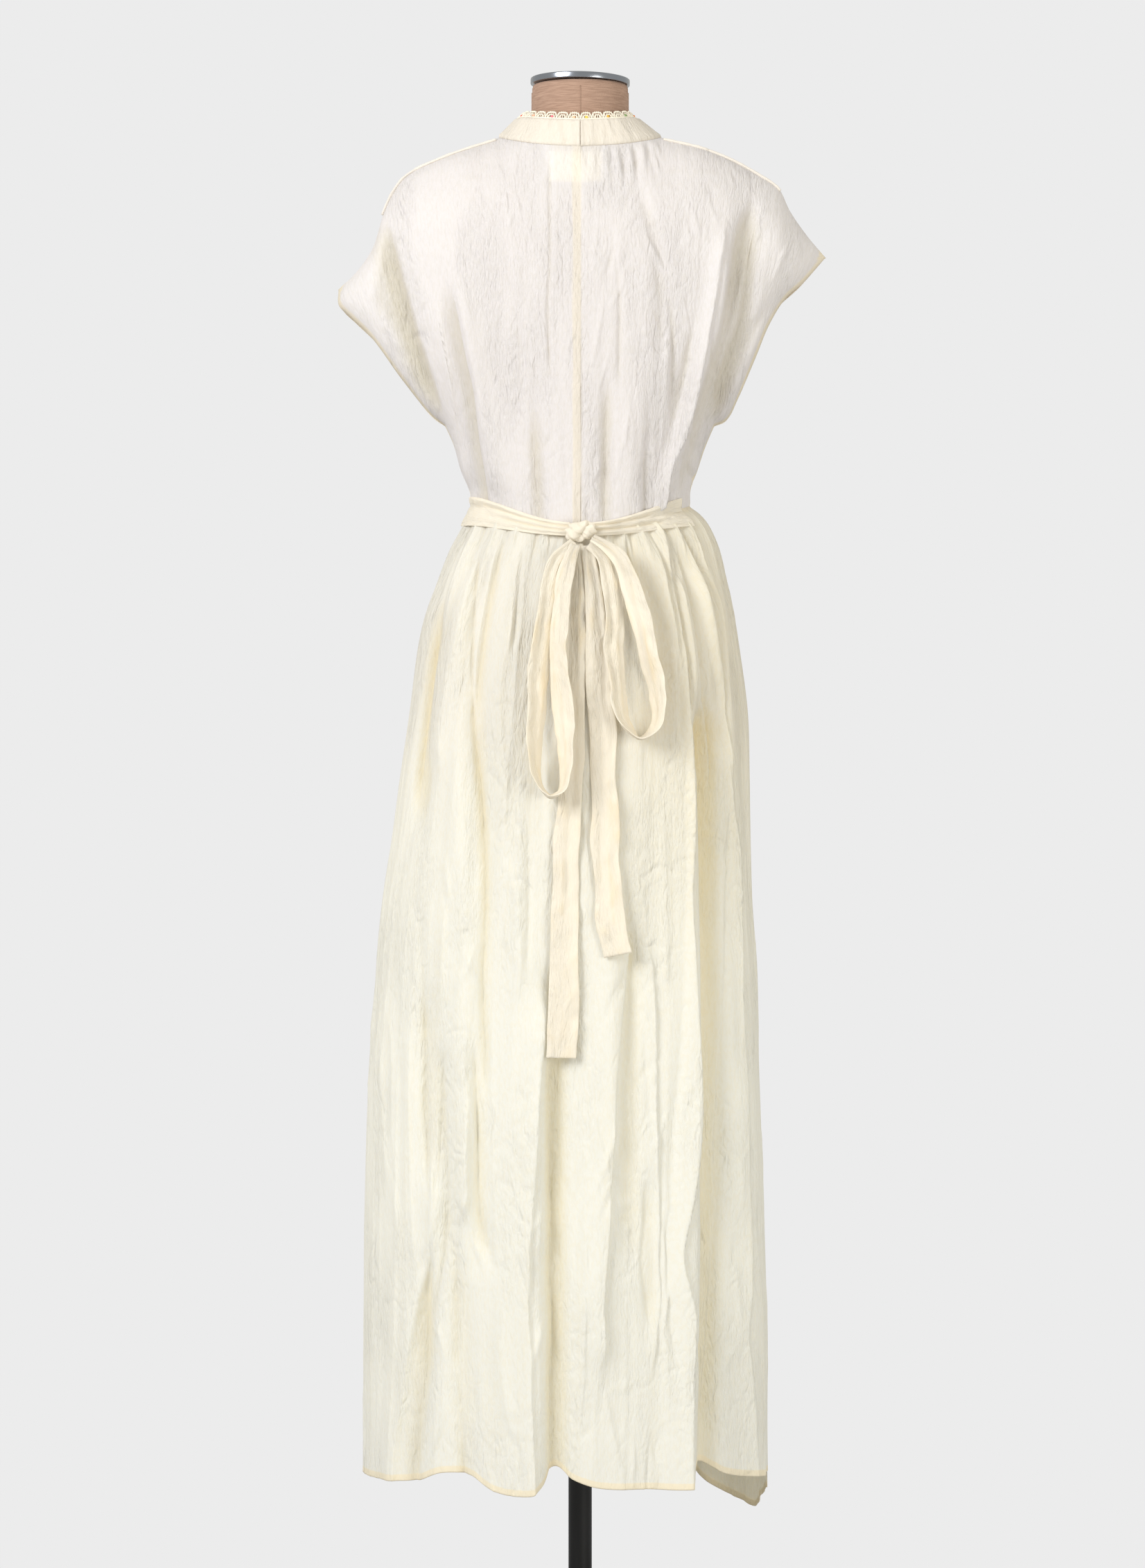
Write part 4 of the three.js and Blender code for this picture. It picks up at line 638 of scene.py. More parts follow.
# Colours are sRGB from 0 to 255. A cloth has one for its lit, raised places and one, painted shade, for its
# sunken places.
COLOURS = {
    "cotton": ((249, 248, 240), (245, 230, 187)),
    "bodice_cotton": ((246, 243, 243), (222, 215, 192)),
    "sash_cotton": ((250, 246, 238), (246, 230, 198)),
    "double": (252, 241, 214),
    "linen": ((158, 128, 110), (176, 145, 126)),
    "crochet": (244, 237, 220),
    "label": (244, 239, 226),
    "chrome": (150, 155, 164),
    "steel": (24, 24, 24),
    "studio": (236, 236, 236),
}
THROUGH = 0.3  # share of the light on the cotton that shines through it

# Lamps, in metres and watts: place, aim, width, power and colour.
LIGHT = {
    "dome": 0.635,
    "tint": (1.0, 0.985, 0.92, 1),
    "lamps": {
        "key": ((-2.6, -2.9, 2.6), (0, 0, 1.2), 2.2, 127, (1.0, 0.998, 1.0)),
        "fill": ((2.4, -3.0, 0.9), (0, 0, 0.6), 2.0, 54, (1.0, 0.975, 0.9)),
    },
}
CAMERA = {"place": (-0.00814, -4.5, 0.9), "lens": 96.74, "sensor": 36, "far": 40}


# ---- Reading the tables ----

def lerp(a, b, share):
    return a + (b - a) * share


def smooth(value, low, high):
    share = np.clip((value - low) / (high - low), 0, 1)
    return share * share * (3 - 2 * share)


def read(rows, key, column, place):
    """The value of a column at places along the key column, on a smooth line through the rows."""
    spots, values = rows[key], rows[column]
    if spots[-1] < spots[0]:
        spots, values = spots[::-1], values[::-1]
    ahead = np.minimum(np.arange(len(spots)) + 1, len(spots) - 1)
    behind = np.maximum(np.arange(len(spots)) - 1, 0)
    slopes = (values[ahead] - values[behind]) / (spots[ahead] - spots[behind])
    at = np.clip(place, spots[0], spots[-1])
    i = np.clip(np.searchsorted(spots, at) - 1, 0, len(spots) - 2)
    span = spots[i + 1] - spots[i]
    t = (at - spots[i]) / span
    start = (2 * t**3 - 3 * t**2 + 1) * values[i] + (t**3 - 2 * t**2 + t) * span * slopes[i]
    end = (3 * t**2 - 2 * t**3) * values[i + 1] + (t**3 - t**2) * span * slopes[i + 1]
    return start + end


def share_beyond(value, start):
    """Share of the way from start to 1."""
    return np.clip((value - start) / (1 - start), 0, 1)


def fold_move(folds, levels, x, z, soft):
    """How far the folds move points out of the cloth's smooth form, and to +X along it."""
    out = np.zeros(np.shape(x))
    along = np.zeros(np.shape(x))
    for fold in rows_of(folds):
        line = {"z": np.array(levels, float), "x": np.array([fold[f"l{i}"] for i in range(len(levels))])}
        near = (x - read(line, "z", "x", z)) / fold["width"]
        begins = 1 - smooth(z, fold["upper"] - soft, fold["upper"])
        ends = smooth(z, fold["lower"], fold["lower"] + soft)
        size = np.exp(-near * near) * begins * ends
        out += fold["out"] * size
        along += fold["lean"] * size
    return out, along


def crest(near):
    """The section of a crease: round at its foot and a little sharp on top."""
    return 0.5 * np.exp(-near * near) + 0.5 * np.exp(-2.0 * np.abs(near))


def crease_move(creases, x, z, soft):
    """How far the creases move points out. Each runs along its own route and fades at its ends."""
    out = np.zeros(np.shape(x))
    for fold in creases:
        route = np.array(fold["route"], float)
        steep = abs(route[-1, 1] - route[0, 1]) > abs(route[-1, 0] - route[0, 0])
        key, place, other = (1, z, x) if steep else (0, x, z)
        if route[-1, key] < route[0, key]:
            route = route[::-1]
        line = {"at": route[:, key], "off": route[:, 1 - key]}
        low, high = route[0, key], route[-1, key]
        fade = min(soft, 0.48 * (high - low)) if steep else 0.48 * (high - low)
        away = other - read(line, "at", "off", place)
        near = away / np.where(away < 0, fold["low"], fold["high"])
        ends = smooth(place, low, low + fade) * (1 - smooth(place, high - fade, high))
        out += fold["out"] * crest(near) * ends
    return out


def wrinkles(seed, count, xs, zs, out):
    """Short slanting creases strewn over a part of the cloth, uneven in length and depth."""
    chance = np.random.default_rng(seed)
    made = []
    for _ in range(count):
        x, z = chance.uniform(*xs), chance.uniform(*zs)
        length, slant = chance.uniform(40, 130), chance.normal(0, 0.28)
        bend = chance.normal(0, 0.12)
        route = [
            (x + length * (k * slant + bend * k * k), z - length * k) for k in (0, 0.35, 0.7, 1.0)
        ]
        depth = chance.uniform(0.5, 1) * out * chance.choice((-1, 1))
        width = chance.uniform(2.4, 5)
        made.append(crease((width, chance.uniform(1.5, 3)) if depth > 0 else width, depth, *route))
    return made


# Strewn creases: seed, count, where they begin across and up the cloth, and depth.
SKIRT_WRINKLES = {
    BACK: ((7, 46, (-185, 180), (190, 620), 2.6), (8, 26, (-170, 170), (560, 1080), 2.0)),
    FRONT: ((9, 46, (-185, 180), (190, 640), 2.4), (10, 26, (-150, 150), (560, 1080), 2.0)),
}
BODICE_WRINKLES = {
    BACK: ((11, 20, (10, 130), (1270, 1560), 1.5), (12, 12, (-150, -10), (1270, 1560), 1.1)),
    FRONT: ((13, 24, (-140, 140), (1270, 1500), 1.4),),
}


def all_creases(placed, strewn):
    """The creases of a cloth: those listed in the tables, then the strewn ones."""
    return placed + [fold for batch in strewn for fold in wrinkles(*batch)]


def dense(points, fine=24):
    """A close polyline on a smooth curve through points."""
    points = np.array(points, float)
    padded = np.vstack([2 * points[0] - points[1], points, 2 * points[-1] - points[-2]])
    t = (np.arange(fine) / fine)[:, None]
    pieces = []
    for i in range(len(points) - 1):
        p = padded[i : i + 4]
        d0, d1, d2 = np.linalg.norm(np.diff(p, axis=0), axis=1) ** 0.5
        m1 = ((p[1] - p[0]) / d0 - (p[2] - p[0]) / (d0 + d1) + (p[2] - p[1]) / d1) * d1
        m2 = ((p[2] - p[1]) / d1 - (p[3] - p[1]) / (d1 + d2) + (p[3] - p[2]) / d2) * d1
        start = (2 * t**3 - 3 * t**2 + 1) * p[1] + (t**3 - 2 * t**2 + t) * m1
        end = (3 * t**2 - 2 * t**3) * p[2] + (t**3 - t**2) * m2
        pieces.append(start + end)
    return np.vstack([*pieces, points[-1:]])


def lengths_of(points):
    steps = np.linalg.norm(np.diff(points, axis=0), axis=1)
    return np.concatenate([[0], np.cumsum(steps)])


def curve_of(points, fine=24):
    """A smooth curve through points, as a function of the share of its length."""
    line = dense(points, fine)
    shares = lengths_of(line)
    shares /= shares[-1]

    def at(share):
        return np.stack([np.interp(share, shares, line[:, k]) for k in range(3)], axis=-1)

    return at


def steps_to(count, low=0.0, high=1.0):
    return np.linspace(low, high, max(int(round(count * DETAIL)), 2) + 1)


def noise(seed, u, v):
    """Smooth noise from -1 to 1 over a plane."""
    lattice = np.random.default_rng(seed).uniform(-1, 1, (257, 257))
    column, row = np.floor(u), np.floor(v)
    across, up = u - column, v - row
    across, up = across**2 * (3 - 2 * across), up**2 * (3 - 2 * up)
    i, j = column.astype(int) % 256, row.astype(int) % 256
    low = lerp(lattice[i, j], lattice[i + 1, j], across)
    high = lerp(lattice[i, j + 1], lattice[i + 1, j + 1], across)
    return lerp(low, high, up)


def crinkle(seed, u, v, size=1.0):
    """Long uneven crinkles in the direction of v, as of washed gauze."""
    wander = u + 9 * noise(seed, u / 60, v / 70)
    broad = 0.6 * (1 - 2 * np.abs(noise(seed + 1, wander / 17, v / 150)))
    fine = 0.5 * (1 - 2 * np.abs(noise(seed + 2, wander / 8, v / 75)))
    mask = smooth(noise(seed + 4, u / 45, v / 120), -0.5, 0.5)
    dents = 0.5 * noise(seed + 3, u / 34, v / 46)
    return size * ((broad + fine) * (0.25 + 0.75 * mask) + dents)


def pleats(seed, u, v):
    """Long narrow ridges that run down the cloth from its gathers, and come and go."""
    wander = u + 10 * noise(seed, u / 120, v / 260)
    ridge = (1 - np.abs(noise(seed + 1, wander / 21, v / 520))) ** 3
    edge = (1 - np.abs(noise(seed + 2, wander / 37, v / 640))) ** 4
    mask = smooth(noise(seed + 3, u / 70, v / 230), -0.55, 0.35)
    return (1.9 * ridge + 2.3 * edge - 1.4) * (0.35 + 0.65 * mask)


def rumple(seed, u, v, size=1.0):
    """Short slanting creases, thick in some places and absent in others."""
    right = 1 - 2 * np.abs(noise(seed, u / 27 + v / 130, v / 100))
    left = 1 - 2 * np.abs(noise(seed + 1, u / 23 - v / 150, v / 84))
    across = 1 - 2 * np.abs(noise(seed + 2, u / 60 + v / 90, v / 30))
    mask = smooth(noise(seed + 3, u / 110, v / 150), -0.35, 0.5)
    return size * (right + left + 0.4 * across) * (0.3 + 0.7 * mask)


# ---- Meshes ----

def unit(vectors):
    return vectors / np.maximum(np.linalg.norm(vectors, axis=-1, keepdims=True), 1e-9)


def turns(count, ends=False):
    """Angles spaced evenly round a circle. With ends, the last one is the first again."""
    return np.linspace(0, 2 * math.pi, count + ends, endpoint=ends)


def grid_normals(points, side):
    down = np.gradient(points, axis=0)
    across = np.gradient(points, axis=1)
    return unit(np.cross(down, across)) * side


def mesh_object(name, points, faces, smooth_faces=True):
    """An object from points in millimetres and faces of three or four corners."""
    mesh = bpy.data.meshes.new(name)
    flat = np.asarray(points, float).reshape(-1, 3) * MM
    mesh.from_pydata(flat.tolist(), [], faces)
    mesh.polygons.foreach_set("use_smooth", [smooth_faces] * len(mesh.polygons))
    mesh.update()
    thing = bpy.data.objects.new(name, mesh)
    bpy.context.scene.collection.objects.link(thing)
    return thing


def grid_faces(rows, columns, start=0, around=False):
    """Quads of a grid of points. With around, its last column joins its first."""
    last = columns if around else columns - 1
    r, c = np.meshgrid(np.arange(rows - 1), np.arange(last), indexing="ij")
    after = (c + 1) % columns
    corners = (r * columns + c, r * columns + after, (r + 1) * columns + after, (r + 1) * columns + c)
    return (np.stack([k.ravel() for k in corners], axis=1) + start).tolist()


def paint(thing, grain=None, **shares):
    """Puts the cloth's own coordinates, in metres, and shares such as its extra layers on a mesh."""
    mesh = thing.data
    if grain is not None:
        corner = np.empty(len(mesh.loops), int)
        mesh.loops.foreach_get("vertex_index", corner)
        flat = (np.asarray(grain, float).reshape(-1, 2) * MM)[corner]
        mesh.uv_layers.new(name="grain").data.foreach_set("uv", flat.ravel())
    for name, values in shares.items():
        made = mesh.attributes.new(name, "FLOAT", "POINT")
        made.data.foreach_set("value", np.asarray(values, float).ravel())


def valley_share(relief, depth=13):
    """How much painted shade the cloth gets in the valleys of its relief."""
    return 0.7 * (1 - np.exp(-np.maximum(-relief - 2, 0) / depth))


def sheet_object(name, points, side, grain, layers, valley):
    """A single sheet from a grid of points whose outer face is on the given side."""
    rows, columns = points.shape[:2]
    faces = grid_faces(rows, columns)
    if side < 0:
        faces = [face[::-1] for face in faces]
    thing = mesh_object(name, points, faces)
    paint(thing, grain, layers=layers, valley=valley)
    return thing


def tube_parts(line, radius, sides=8):
    """Points and faces of a closed round cord along a polyline."""
    line = np.asarray(line, float)
    tangent = unit(np.gradient(line, axis=0))
    hint = np.array([0.0, 0.0, 1.0]) if abs(tangent[0, 2]) < 0.9 else np.array([1.0, 0.0, 0.0])
    wide = np.empty_like(line)
    for i, way in enumerate(tangent):
        hint = hint - way * hint.dot(way)
        hint /= np.linalg.norm(hint)
        wide[i] = hint
    out = np.cross(tangent, wide)
    angle = turns(sides)
    ring = wide[:, None] * np.cos(angle)[None, :, None] + out[:, None] * np.sin(angle)[None, :, None]
    radius = np.broadcast_to(np.asarray(radius, float), (len(line),))
    return closed_body(line[:, None] + ring * radius[:, None, None])


def merged(parts):
    """One set of points and faces from several."""
    points, faces, start = [], [], 0
    for some, these in parts:
        points.append(some)
        faces.extend([[corner + start for corner in face] for face in these])
        start += len(some)
    return np.vstack(points), faces


def closed_body(rings):
    """Points and faces of a closed body from rings of points, with flat ends."""
    rings = np.asarray(rings, float)
    rows, sides = rings.shape[:2]
    faces = grid_faces(rows, sides, around=True)
    faces.append(list(range(sides))[::-1])
    faces.append([(rows - 1) * sides + k for k in range(sides)])
    return rings.reshape(-1, 3), faces


def both_faces(outer, inner=None):
    """Values on the rings of a flat closed body, from grids of them for its outer and inner face."""
    rings = np.concatenate([outer, (outer if inner is None else inner)[::-1]], axis=0)
    return np.swapaxes(rings, 0, 1)


def shell_object(name, outer, inner, grain, **shares):
    """A closed body between two grids, round across their rows."""
    thing = mesh_object(name, *closed_body(both_faces(outer, inner)))
    if grain is not None:
        paint(thing, both_faces(np.stack(np.broadcast_arrays(*grain), -1)), **shares)
    return thing


def lathe_parts(profile, sides):
    """Points and faces of a turned body from (radius, z) pairs from its foot to its top."""
    angle = turns(sides)
    circle = np.stack([np.cos(angle), np.sin(angle)], axis=1)
    rings = [np.column_stack([circle * radius, np.full(sides, z)]) for radius, z in profile]
    return closed_body(rings)


# ---- Materials ----

def colour_of(red, green, blue):
    """Linear colour of an sRGB one given from 0 to 255."""
    return [((c / 255 + 0.055) / 1.055) ** 2.4 if c > 10 else c / 3295 for c in (red, green, blue)] + [1]


class Shader:
    """A material's nodes, made one after another."""

    def __init__(self, name):
        self.material = bpy.data.materials.new(name)
        self.material.use_nodes = True
        self.tree = self.material.node_tree
        self.tree.nodes.clear()

    def node(self, kind, settings=None, **inputs):
        made = self.tree.nodes.new(kind)
        for key, value in (settings or {}).items():
            setattr(made, key, value)
        for key, value in inputs.items():
            socket = made.inputs[int(key[1:])] if key[1:].isdigit() else made.inputs[key.replace("_", " ")]
            if isinstance(value, bpy.types.NodeSocket):
                self.tree.links.new(value, socket)
            else:
                socket.default_value = value
        return made

    def math(self, operation, a, b=0.0):
        return self.node("ShaderNodeMath", {"operation": operation}, i0=a, i1=b).outputs[0]

    def mix(self, share, low, high):
        return self.node(
            "ShaderNodeMix", {"data_type": "RGBA", "clamp_factor": True}, i0=share, i6=low, i7=high
        ).outputs[2]

    def range(self, value, low, high, to_low=0.0, to_high=1.0):
        return self.node(
            "ShaderNodeMapRange", {"interpolation_type": "SMOOTHSTEP"},
            Value=value, From_Min=low, From_Max=high, To_Min=to_low, To_Max=to_high,
        ).outputs[0]

    def noise(self, scale, detail=2.0, across=1.0, along=1.0, ridged=False, bend=0.0):
        """Noise over the cloth's own coordinates, finer across than along."""
        place = self.node("ShaderNodeUVMap", {"uv_map": "grain"}).outputs[0]
        spot = self.node("ShaderNodeMapping", Vector=place, Scale=(across, along, 1)).outputs[0]
        kind = {"noise_dimensions": "2D"}
        if ridged:
            kind["noise_type"] = "RIDGED_MULTIFRACTAL"
        return self.node(
            "ShaderNodeTexNoise", kind, Vector=spot, Scale=scale, Detail=detail, Distortion=bend
        ).outputs[0]

    def finish(self, surface):
        self.node("ShaderNodeOutputMaterial", Surface=surface)
        return self.material


def cloth_relief(shader):
    """Fine crinkles, and the height that they make with broader ones, crumples and a weave."""
    fine = shader.noise(1.0, 4.0, 430, 120, bend=0.4)
    broad = shader.noise(1.0, 3.0, 150, 48, ridged=True, bend=0.8)
    weave = shader.noise(1.0, 1.0, 1800, 1800)
    crumple = shader.noise(1.0, 3.0, 40, 26, ridged=True, bend=1.2)
    height = shader.math("MULTIPLY", fine, 0.5)
    for relief, size in ((broad, 0.45), (crumple, 0.8), (weave, 0.1)):
        height = shader.math("ADD", height, shader.math("MULTIPLY", relief, size))
    patch = shader.range(shader.noise(1.0, 2.0, 16, 5), 0.38, 0.62, 0.35, 1.0)
    return fine, shader.math("MULTIPLY", height, patch)


def cloth_material(name, streaks=0.0, crinkles=1.0):
    """Crinkled cotton gauze, with painted shade in its valleys and crinkles, and creamier where it is
    double.
    """
    # the lit colour, and the deep colour, which is painted shade
    lit, deep = COLOURS[name]
    shader = Shader(name)
    fine, height = cloth_relief(shader)
    bump = shader.node("ShaderNodeBump", Strength=1.0, Distance=0.0022 * crinkles, Height=height)
    layers = shader.node("ShaderNodeAttribute", {"attribute_name": "layers"}).outputs["Fac"]
    # painted shade: the mesh's share of it in folds and creases, and more in the low places of the fine
    # crinkles
    valley = shader.node("ShaderNodeAttribute", {"attribute_name": "valley"}).outputs["Fac"]
    low = shader.math("MULTIPLY", shader.range(fine, 0.58, 0.36), 0.12)
    streak = shader.math("MULTIPLY", shader.range(shader.noise(1.0, 3.0, 55, 2.6), 0.5, 0.72), streaks)
    share = shader.math("ADD", shader.math("ADD", low, streak), valley)
    tone = shader.mix(share, colour_of(*lit), colour_of(*deep))
    tone = shader.mix(shader.math("MULTIPLY", layers, 0.75), tone, colour_of(*COLOURS["double"]))
    body = shader.node("ShaderNodeBsdfPrincipled", Base_Color=tone, Roughness=0.9, Normal=bump.outputs[0])
    body.inputs["Sheen Weight"].default_value = 0.12
    body.inputs["Sheen Roughness"].default_value = 0.6
    body.inputs["Specular IOR Level"].default_value = 0.2
    glow = shader.node("ShaderNodeBsdfTranslucent", Color=tone, Normal=bump.outputs[0])
    mixed = shader.node("ShaderNodeMixShader", i0=THROUGH, i1=body.outputs[0], i2=glow.outputs[0])
    return shader.finish(mixed.outputs[0])


def plain_material(name, colour, roughness, metal=0.0):
    shader = Shader(name)
    body = shader.node(
        "ShaderNodeBsdfPrincipled", Base_Color=colour_of(*colour), Roughness=roughness, Metallic=metal
    )
    return shader.finish(body.outputs[0])


def linen_material(name):
    """Coarse linen, with a weave in the object's own coordinates."""
    shader = Shader(name)
    place = shader.node("ShaderNodeTexCoord").outputs["Object"]
    weave = shader.node("ShaderNodeTexNoise", Vector=place, Scale=700, Detail=2).outputs[0]
    slub = shader.node("ShaderNodeMapping", Vector=place, Scale=(60, 60, 900)).outputs[0]
    slubs = shader.node("ShaderNodeTexNoise", Vector=slub, Scale=1, Detail=2).outputs[0]
    tone = shader.mix(shader.range(slubs, 0.35, 0.65), *(colour_of(*colour) for colour in COLOURS["linen"]))
    height = shader.math("ADD", weave, slubs)
    bump = shader.node("ShaderNodeBump", Strength=0.5, Distance=0.0006, Height=height)
    body = shader.node("ShaderNodeBsdfPrincipled", Base_Color=tone, Roughness=0.95, Normal=bump.outputs[0])
    return shader.finish(body.outputs[0])


BODICE_COTTON = cloth_material("bodice_cotton", crinkles=1.25)
MATERIALS = {
    "cotton": cloth_material("cotton", streaks=0.05),
    "sash_cotton": cloth_material("sash_cotton", streaks=0.05, crinkles=0.9),
    "crochet": plain_material("crochet", COLOURS["crochet"], 0.95),
    "label_satin": plain_material("label_satin", COLOURS["label"], 0.5),
    "linen": linen_material("linen"),
    "chrome": plain_material("chrome", COLOURS["chrome"], 0.2, 1.0),
    "black_steel": plain_material("black_steel", COLOURS["steel"], 0.45, 0.3),
}


def place_piece(thing, slot, *nodes, material=None):
    """Gives a piece its finish, its body and the CAD nodes that it stands for."""
    thing.data.materials.append(material or MATERIALS[slot])
    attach(thing, "root")
    if nodes:
        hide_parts(*nodes)
    return thing


# ---- Dress form ----

def form_depth(face, x, z):
    """Depth of the dress form at places across and up its back or front."""
    wide = read(FORM, "z", "wide", z)
    power = read(FORM, "z", "power", z)
    share = np.clip(np.abs(x) / wide, 0, 1)
    depth = read(FORM, "z", FACE_NAMES[face], z) * (1 - share**power) ** (1 / power)
    return np.where(np.abs(x) < wide, depth, -1e6)


def clear_depth(face, x, z):
    """Depth at which the cloth clears the form, above it as well as beside it."""
    return EASE + np.maximum(form_depth(face, x, z), form_depth(face, x, z - EASE))


def form_body():
    angle = turns(TORSO["sides"])
    c, s = np.cos(angle), np.sin(angle)
    foot, top = FORM["z"][0], FORM["z"][-1]
    rings = []
    for z in np.concatenate([[foot, foot + 1.5], np.arange(foot + 4, top, 4), [top]]):
        wide, back, front, power = (read(FORM, "z", key, z) for key in ("wide", "back", "front", "power"))
        inset = 2 * (1 - smooth(z, foot - 1, foot + 3)) + smooth(z, top - 1.5, top + 0.5)
        size = (np.abs(c) ** power + np.abs(s) ** power) ** (-1 / power)
        deep = np.where(s < 0, back, front) - inset
        rings.append(np.column_stack([(wide - inset) * c * size, deep * s * size, 0 * c + z]))
    place_piece(mesh_object("torso", *closed_body(rings)), "linen", "form_body")


def torso_seams():
    """Raised seams of the linen cover: round the neck, down the middles and down the sides."""
    angle = turns(TORSO["sides"], ends=True)
    z = TORSO["neck_seam"]
    wide, back, front = (read(FORM, "z", key, z) for key in ("wide", "back", "front"))
    deep = np.where(np.sin(angle) < 0, back, front)
    line = np.column_stack([wide * np.cos(angle), deep * np.sin(angle), 0 * angle + z])
    parts = [tube_parts(line, 0.9, 6)]
    z = np.arange(*TORSO["seams"])
    middles = [(0 * z, face * read(FORM, "z", FACE_NAMES[face], z), z) for face in (BACK, FRONT)]
    sides = [(side * read(FORM, "z", "wide", z), 0 * z, z) for side in (LEFT, RIGHT)]
    parts.extend(tube_parts(np.column_stack(line), 0.7, 6) for line in middles + sides)
    place_piece(mesh_object("torso_seams", *merged(parts)), "linen")


def rounded(corners, radius, steps=4):
    """A profile with its inner corners rounded, as (radius, z) pairs."""
    corners = np.array(corners, float)
    line = [corners[0]]
    for before, corner, after in zip(corners, corners[1:], corners[2:]):
        a = corner + unit(before - corner) * radius
        b = corner + unit(after - corner) * radius
        for t in np.linspace(0, 1, steps + 1):
            line.append((1 - t) ** 2 * a + 2 * t * (1 - t) * corner + t**2 * b)
    line.append(corners[-1])
    return line


def form_stand():
    r, h = CAP["radius"], CAP["height"]
    cap = rounded([(CORE, 0), (r, 0), (r, h - 1), (r - 4, h), (CORE, h + 1)], 0.9)
    thing = mesh_object("neck_cap", *lathe_parts(cap, 96))
    thing.location.z = (FORM["z"][-1] + CAP["gap"]) * MM
    thing.rotation_euler.y = math.radians(CAP["tilt"])
    place_piece(thing, "chrome", "form_cap")
    foot, top, r = POLE["foot"], FORM["z"][0] + 0.5, POLE["radius"]
    collar = FORM["z"][0] - POLE["collar"]
    pole = [(CORE, foot - 1), (r, foot - 1), (r, collar), (r + 5, collar), (r + 5, top), (CORE, top)]
    place_piece(mesh_object("pole", *lathe_parts(rounded(pole, 0.8), 48)), "black_steel", "form_pole")
    r, hub = BASE["radius"], BASE["hub"]
    base = [
        (CORE, 0), (r, 0), (r, BASE["edge"]), (r - 6, BASE["height"]),
        (hub, BASE["crown"]), (hub - 8, foot), (CORE, foot),
    ]
    place_piece(mesh_object("base", *lathe_parts(rounded(base, 1.4), 128)), "black_steel", "form_base")


# ---- Skirt ----

def waist_height(face, turn):
    """Height of the waist seam, which the bow pulls down at the middle of the back."""
    dip = WAIST["side"] - WAIST["back"] if face == BACK else 0
    return WAIST["side"] - dip * np.cos(turn) ** 2


def skirt_half_width(x, drop):
    """Half the skirt's width on the side where x, or the turn, lies."""
    return np.where(x < 0, read(SKIRT, "drop", "left", drop), read(SKIRT, "drop", "right", drop))


def skirt_ring(face, turn, drop):
    """Points of the skirt's smooth rings, with their normals and directions along the ring."""
    down = np.maximum(drop, 0)
    half = skirt_half_width(turn, down)
    deep = read(SKIRT, "drop", FACE_NAMES[face], down)
    s, c = np.sin(turn), np.cos(turn)
    flat = np.zeros(np.broadcast(turn, drop).shape)
    point = np.stack([half * s + flat, face * deep * c + flat, waist_height(face, turn) - drop + flat], -1)
    normal = unit(np.stack([s / half + flat, face * c / deep + flat, flat], -1))
    along = unit(np.stack([half * c + flat, -face * deep * s + flat, flat], -1))
    return point, normal, along


def gather_wave(face, turn, drop):
    """The wave of the waist gathers, uneven in spacing and height."""
    gathers = WAIST_GATHERS
    drift = 1.3 * np.sin(3.1 * turn + 0.4 * face) + 0.7 * np.sin(7.3 * turn + 1)
    wave = np.cos(2 * gathers["count"] * turn + drift) * (0.75 + 0.25 * np.sin(5 * turn + face))
    rise = smooth(drop, 0, gathers["full"])
    rest = lerp(1, gathers["left"], smooth(drop, gathers["full"], gathers["fade"]))
    return gathers["out"][face] * wave * rise * rest


def skirt_point(face, turn, drop):
    point, normal, along = skirt_ring(face, turn, drop)
    edge = 1 - smooth(np.abs(turn), math.radians(66), math.radians(86))
    x, z = point[..., 0], point[..., 2]
    out, lean = fold_move(SKIRT_FOLDS[face], SKIRT_LEVELS, x, z, SKIRT_FADES["folds"])
    settled = smooth(drop, 24, 80)
    move = (out * settled + gather_wave(face, turn, drop)) * edge
    return point + normal * move[..., None] + along * (lean * edge * settled)[..., None], normal, move


def skirt_detail(face, turn, drop, point):
    """How far tucks, creases and crinkles move the skirt's cloth out, and to +X along it."""
    creases = all_creases(SKIRT_CREASES[face], SKIRT_WRINKLES[face])
    sharp = crease_move(creases, point[..., 0], point[..., 2], SKIRT_FADES["creases"])
    for tuck in rows_of(WAIST_TUCKS[face]):
        near = (np.degrees(turn) - tuck["turn"]) * 2 / tuck["width"]
        fade = 1 - smooth(drop, 0.3 * tuck["length"], tuck["length"])
        sharp = sharp + 1.3 * tuck["out"] * crest(near) * fade * smooth(drop, -2, 8)
    u, v = grain_of_skirt(turn, drop)
    soft = crinkle(11 + face, u, v, 0.5) * smooth(drop, 0, 30)
    soft = soft + rumple(21 + face, u, v, 0.8) * lerp(0.25, 1, smooth(drop, 200, 560))
    soft = soft + 0.8 * noise(31 + face, u / 80, v / 240) * smooth(drop, 60, 200)
    sharp = sharp + 0.7 * pleats(41 + face, u, v) * smooth(drop, 10, 60)
    fade = 1 - smooth(np.abs(turn), math.radians(83), math.radians(90))
    return (sharp + soft) * fade, (0.55 * sharp + 0.4 * soft) * fade, sharp * fade


def grain_of_skirt(turn, drop):
    """The cloth's own coordinates: a gathered panel is wider than the ring it hangs in."""
    return turn / math.pi * 700 + 0 * drop, drop + 0 * turn


def turned_under(points, normals, count, gap):
    """Adds a turned hem below a grid's last row: a fold, then the cloth's last rows inside."""
    outward = unit(points[-1] - points[-2])
    fold = points[-1] + outward * gap / 2 - normals[-1] * gap / 2
    inner = (points - normals * gap)[: -count - 1 : -1]
    return np.concatenate([points, fold[None], inner])


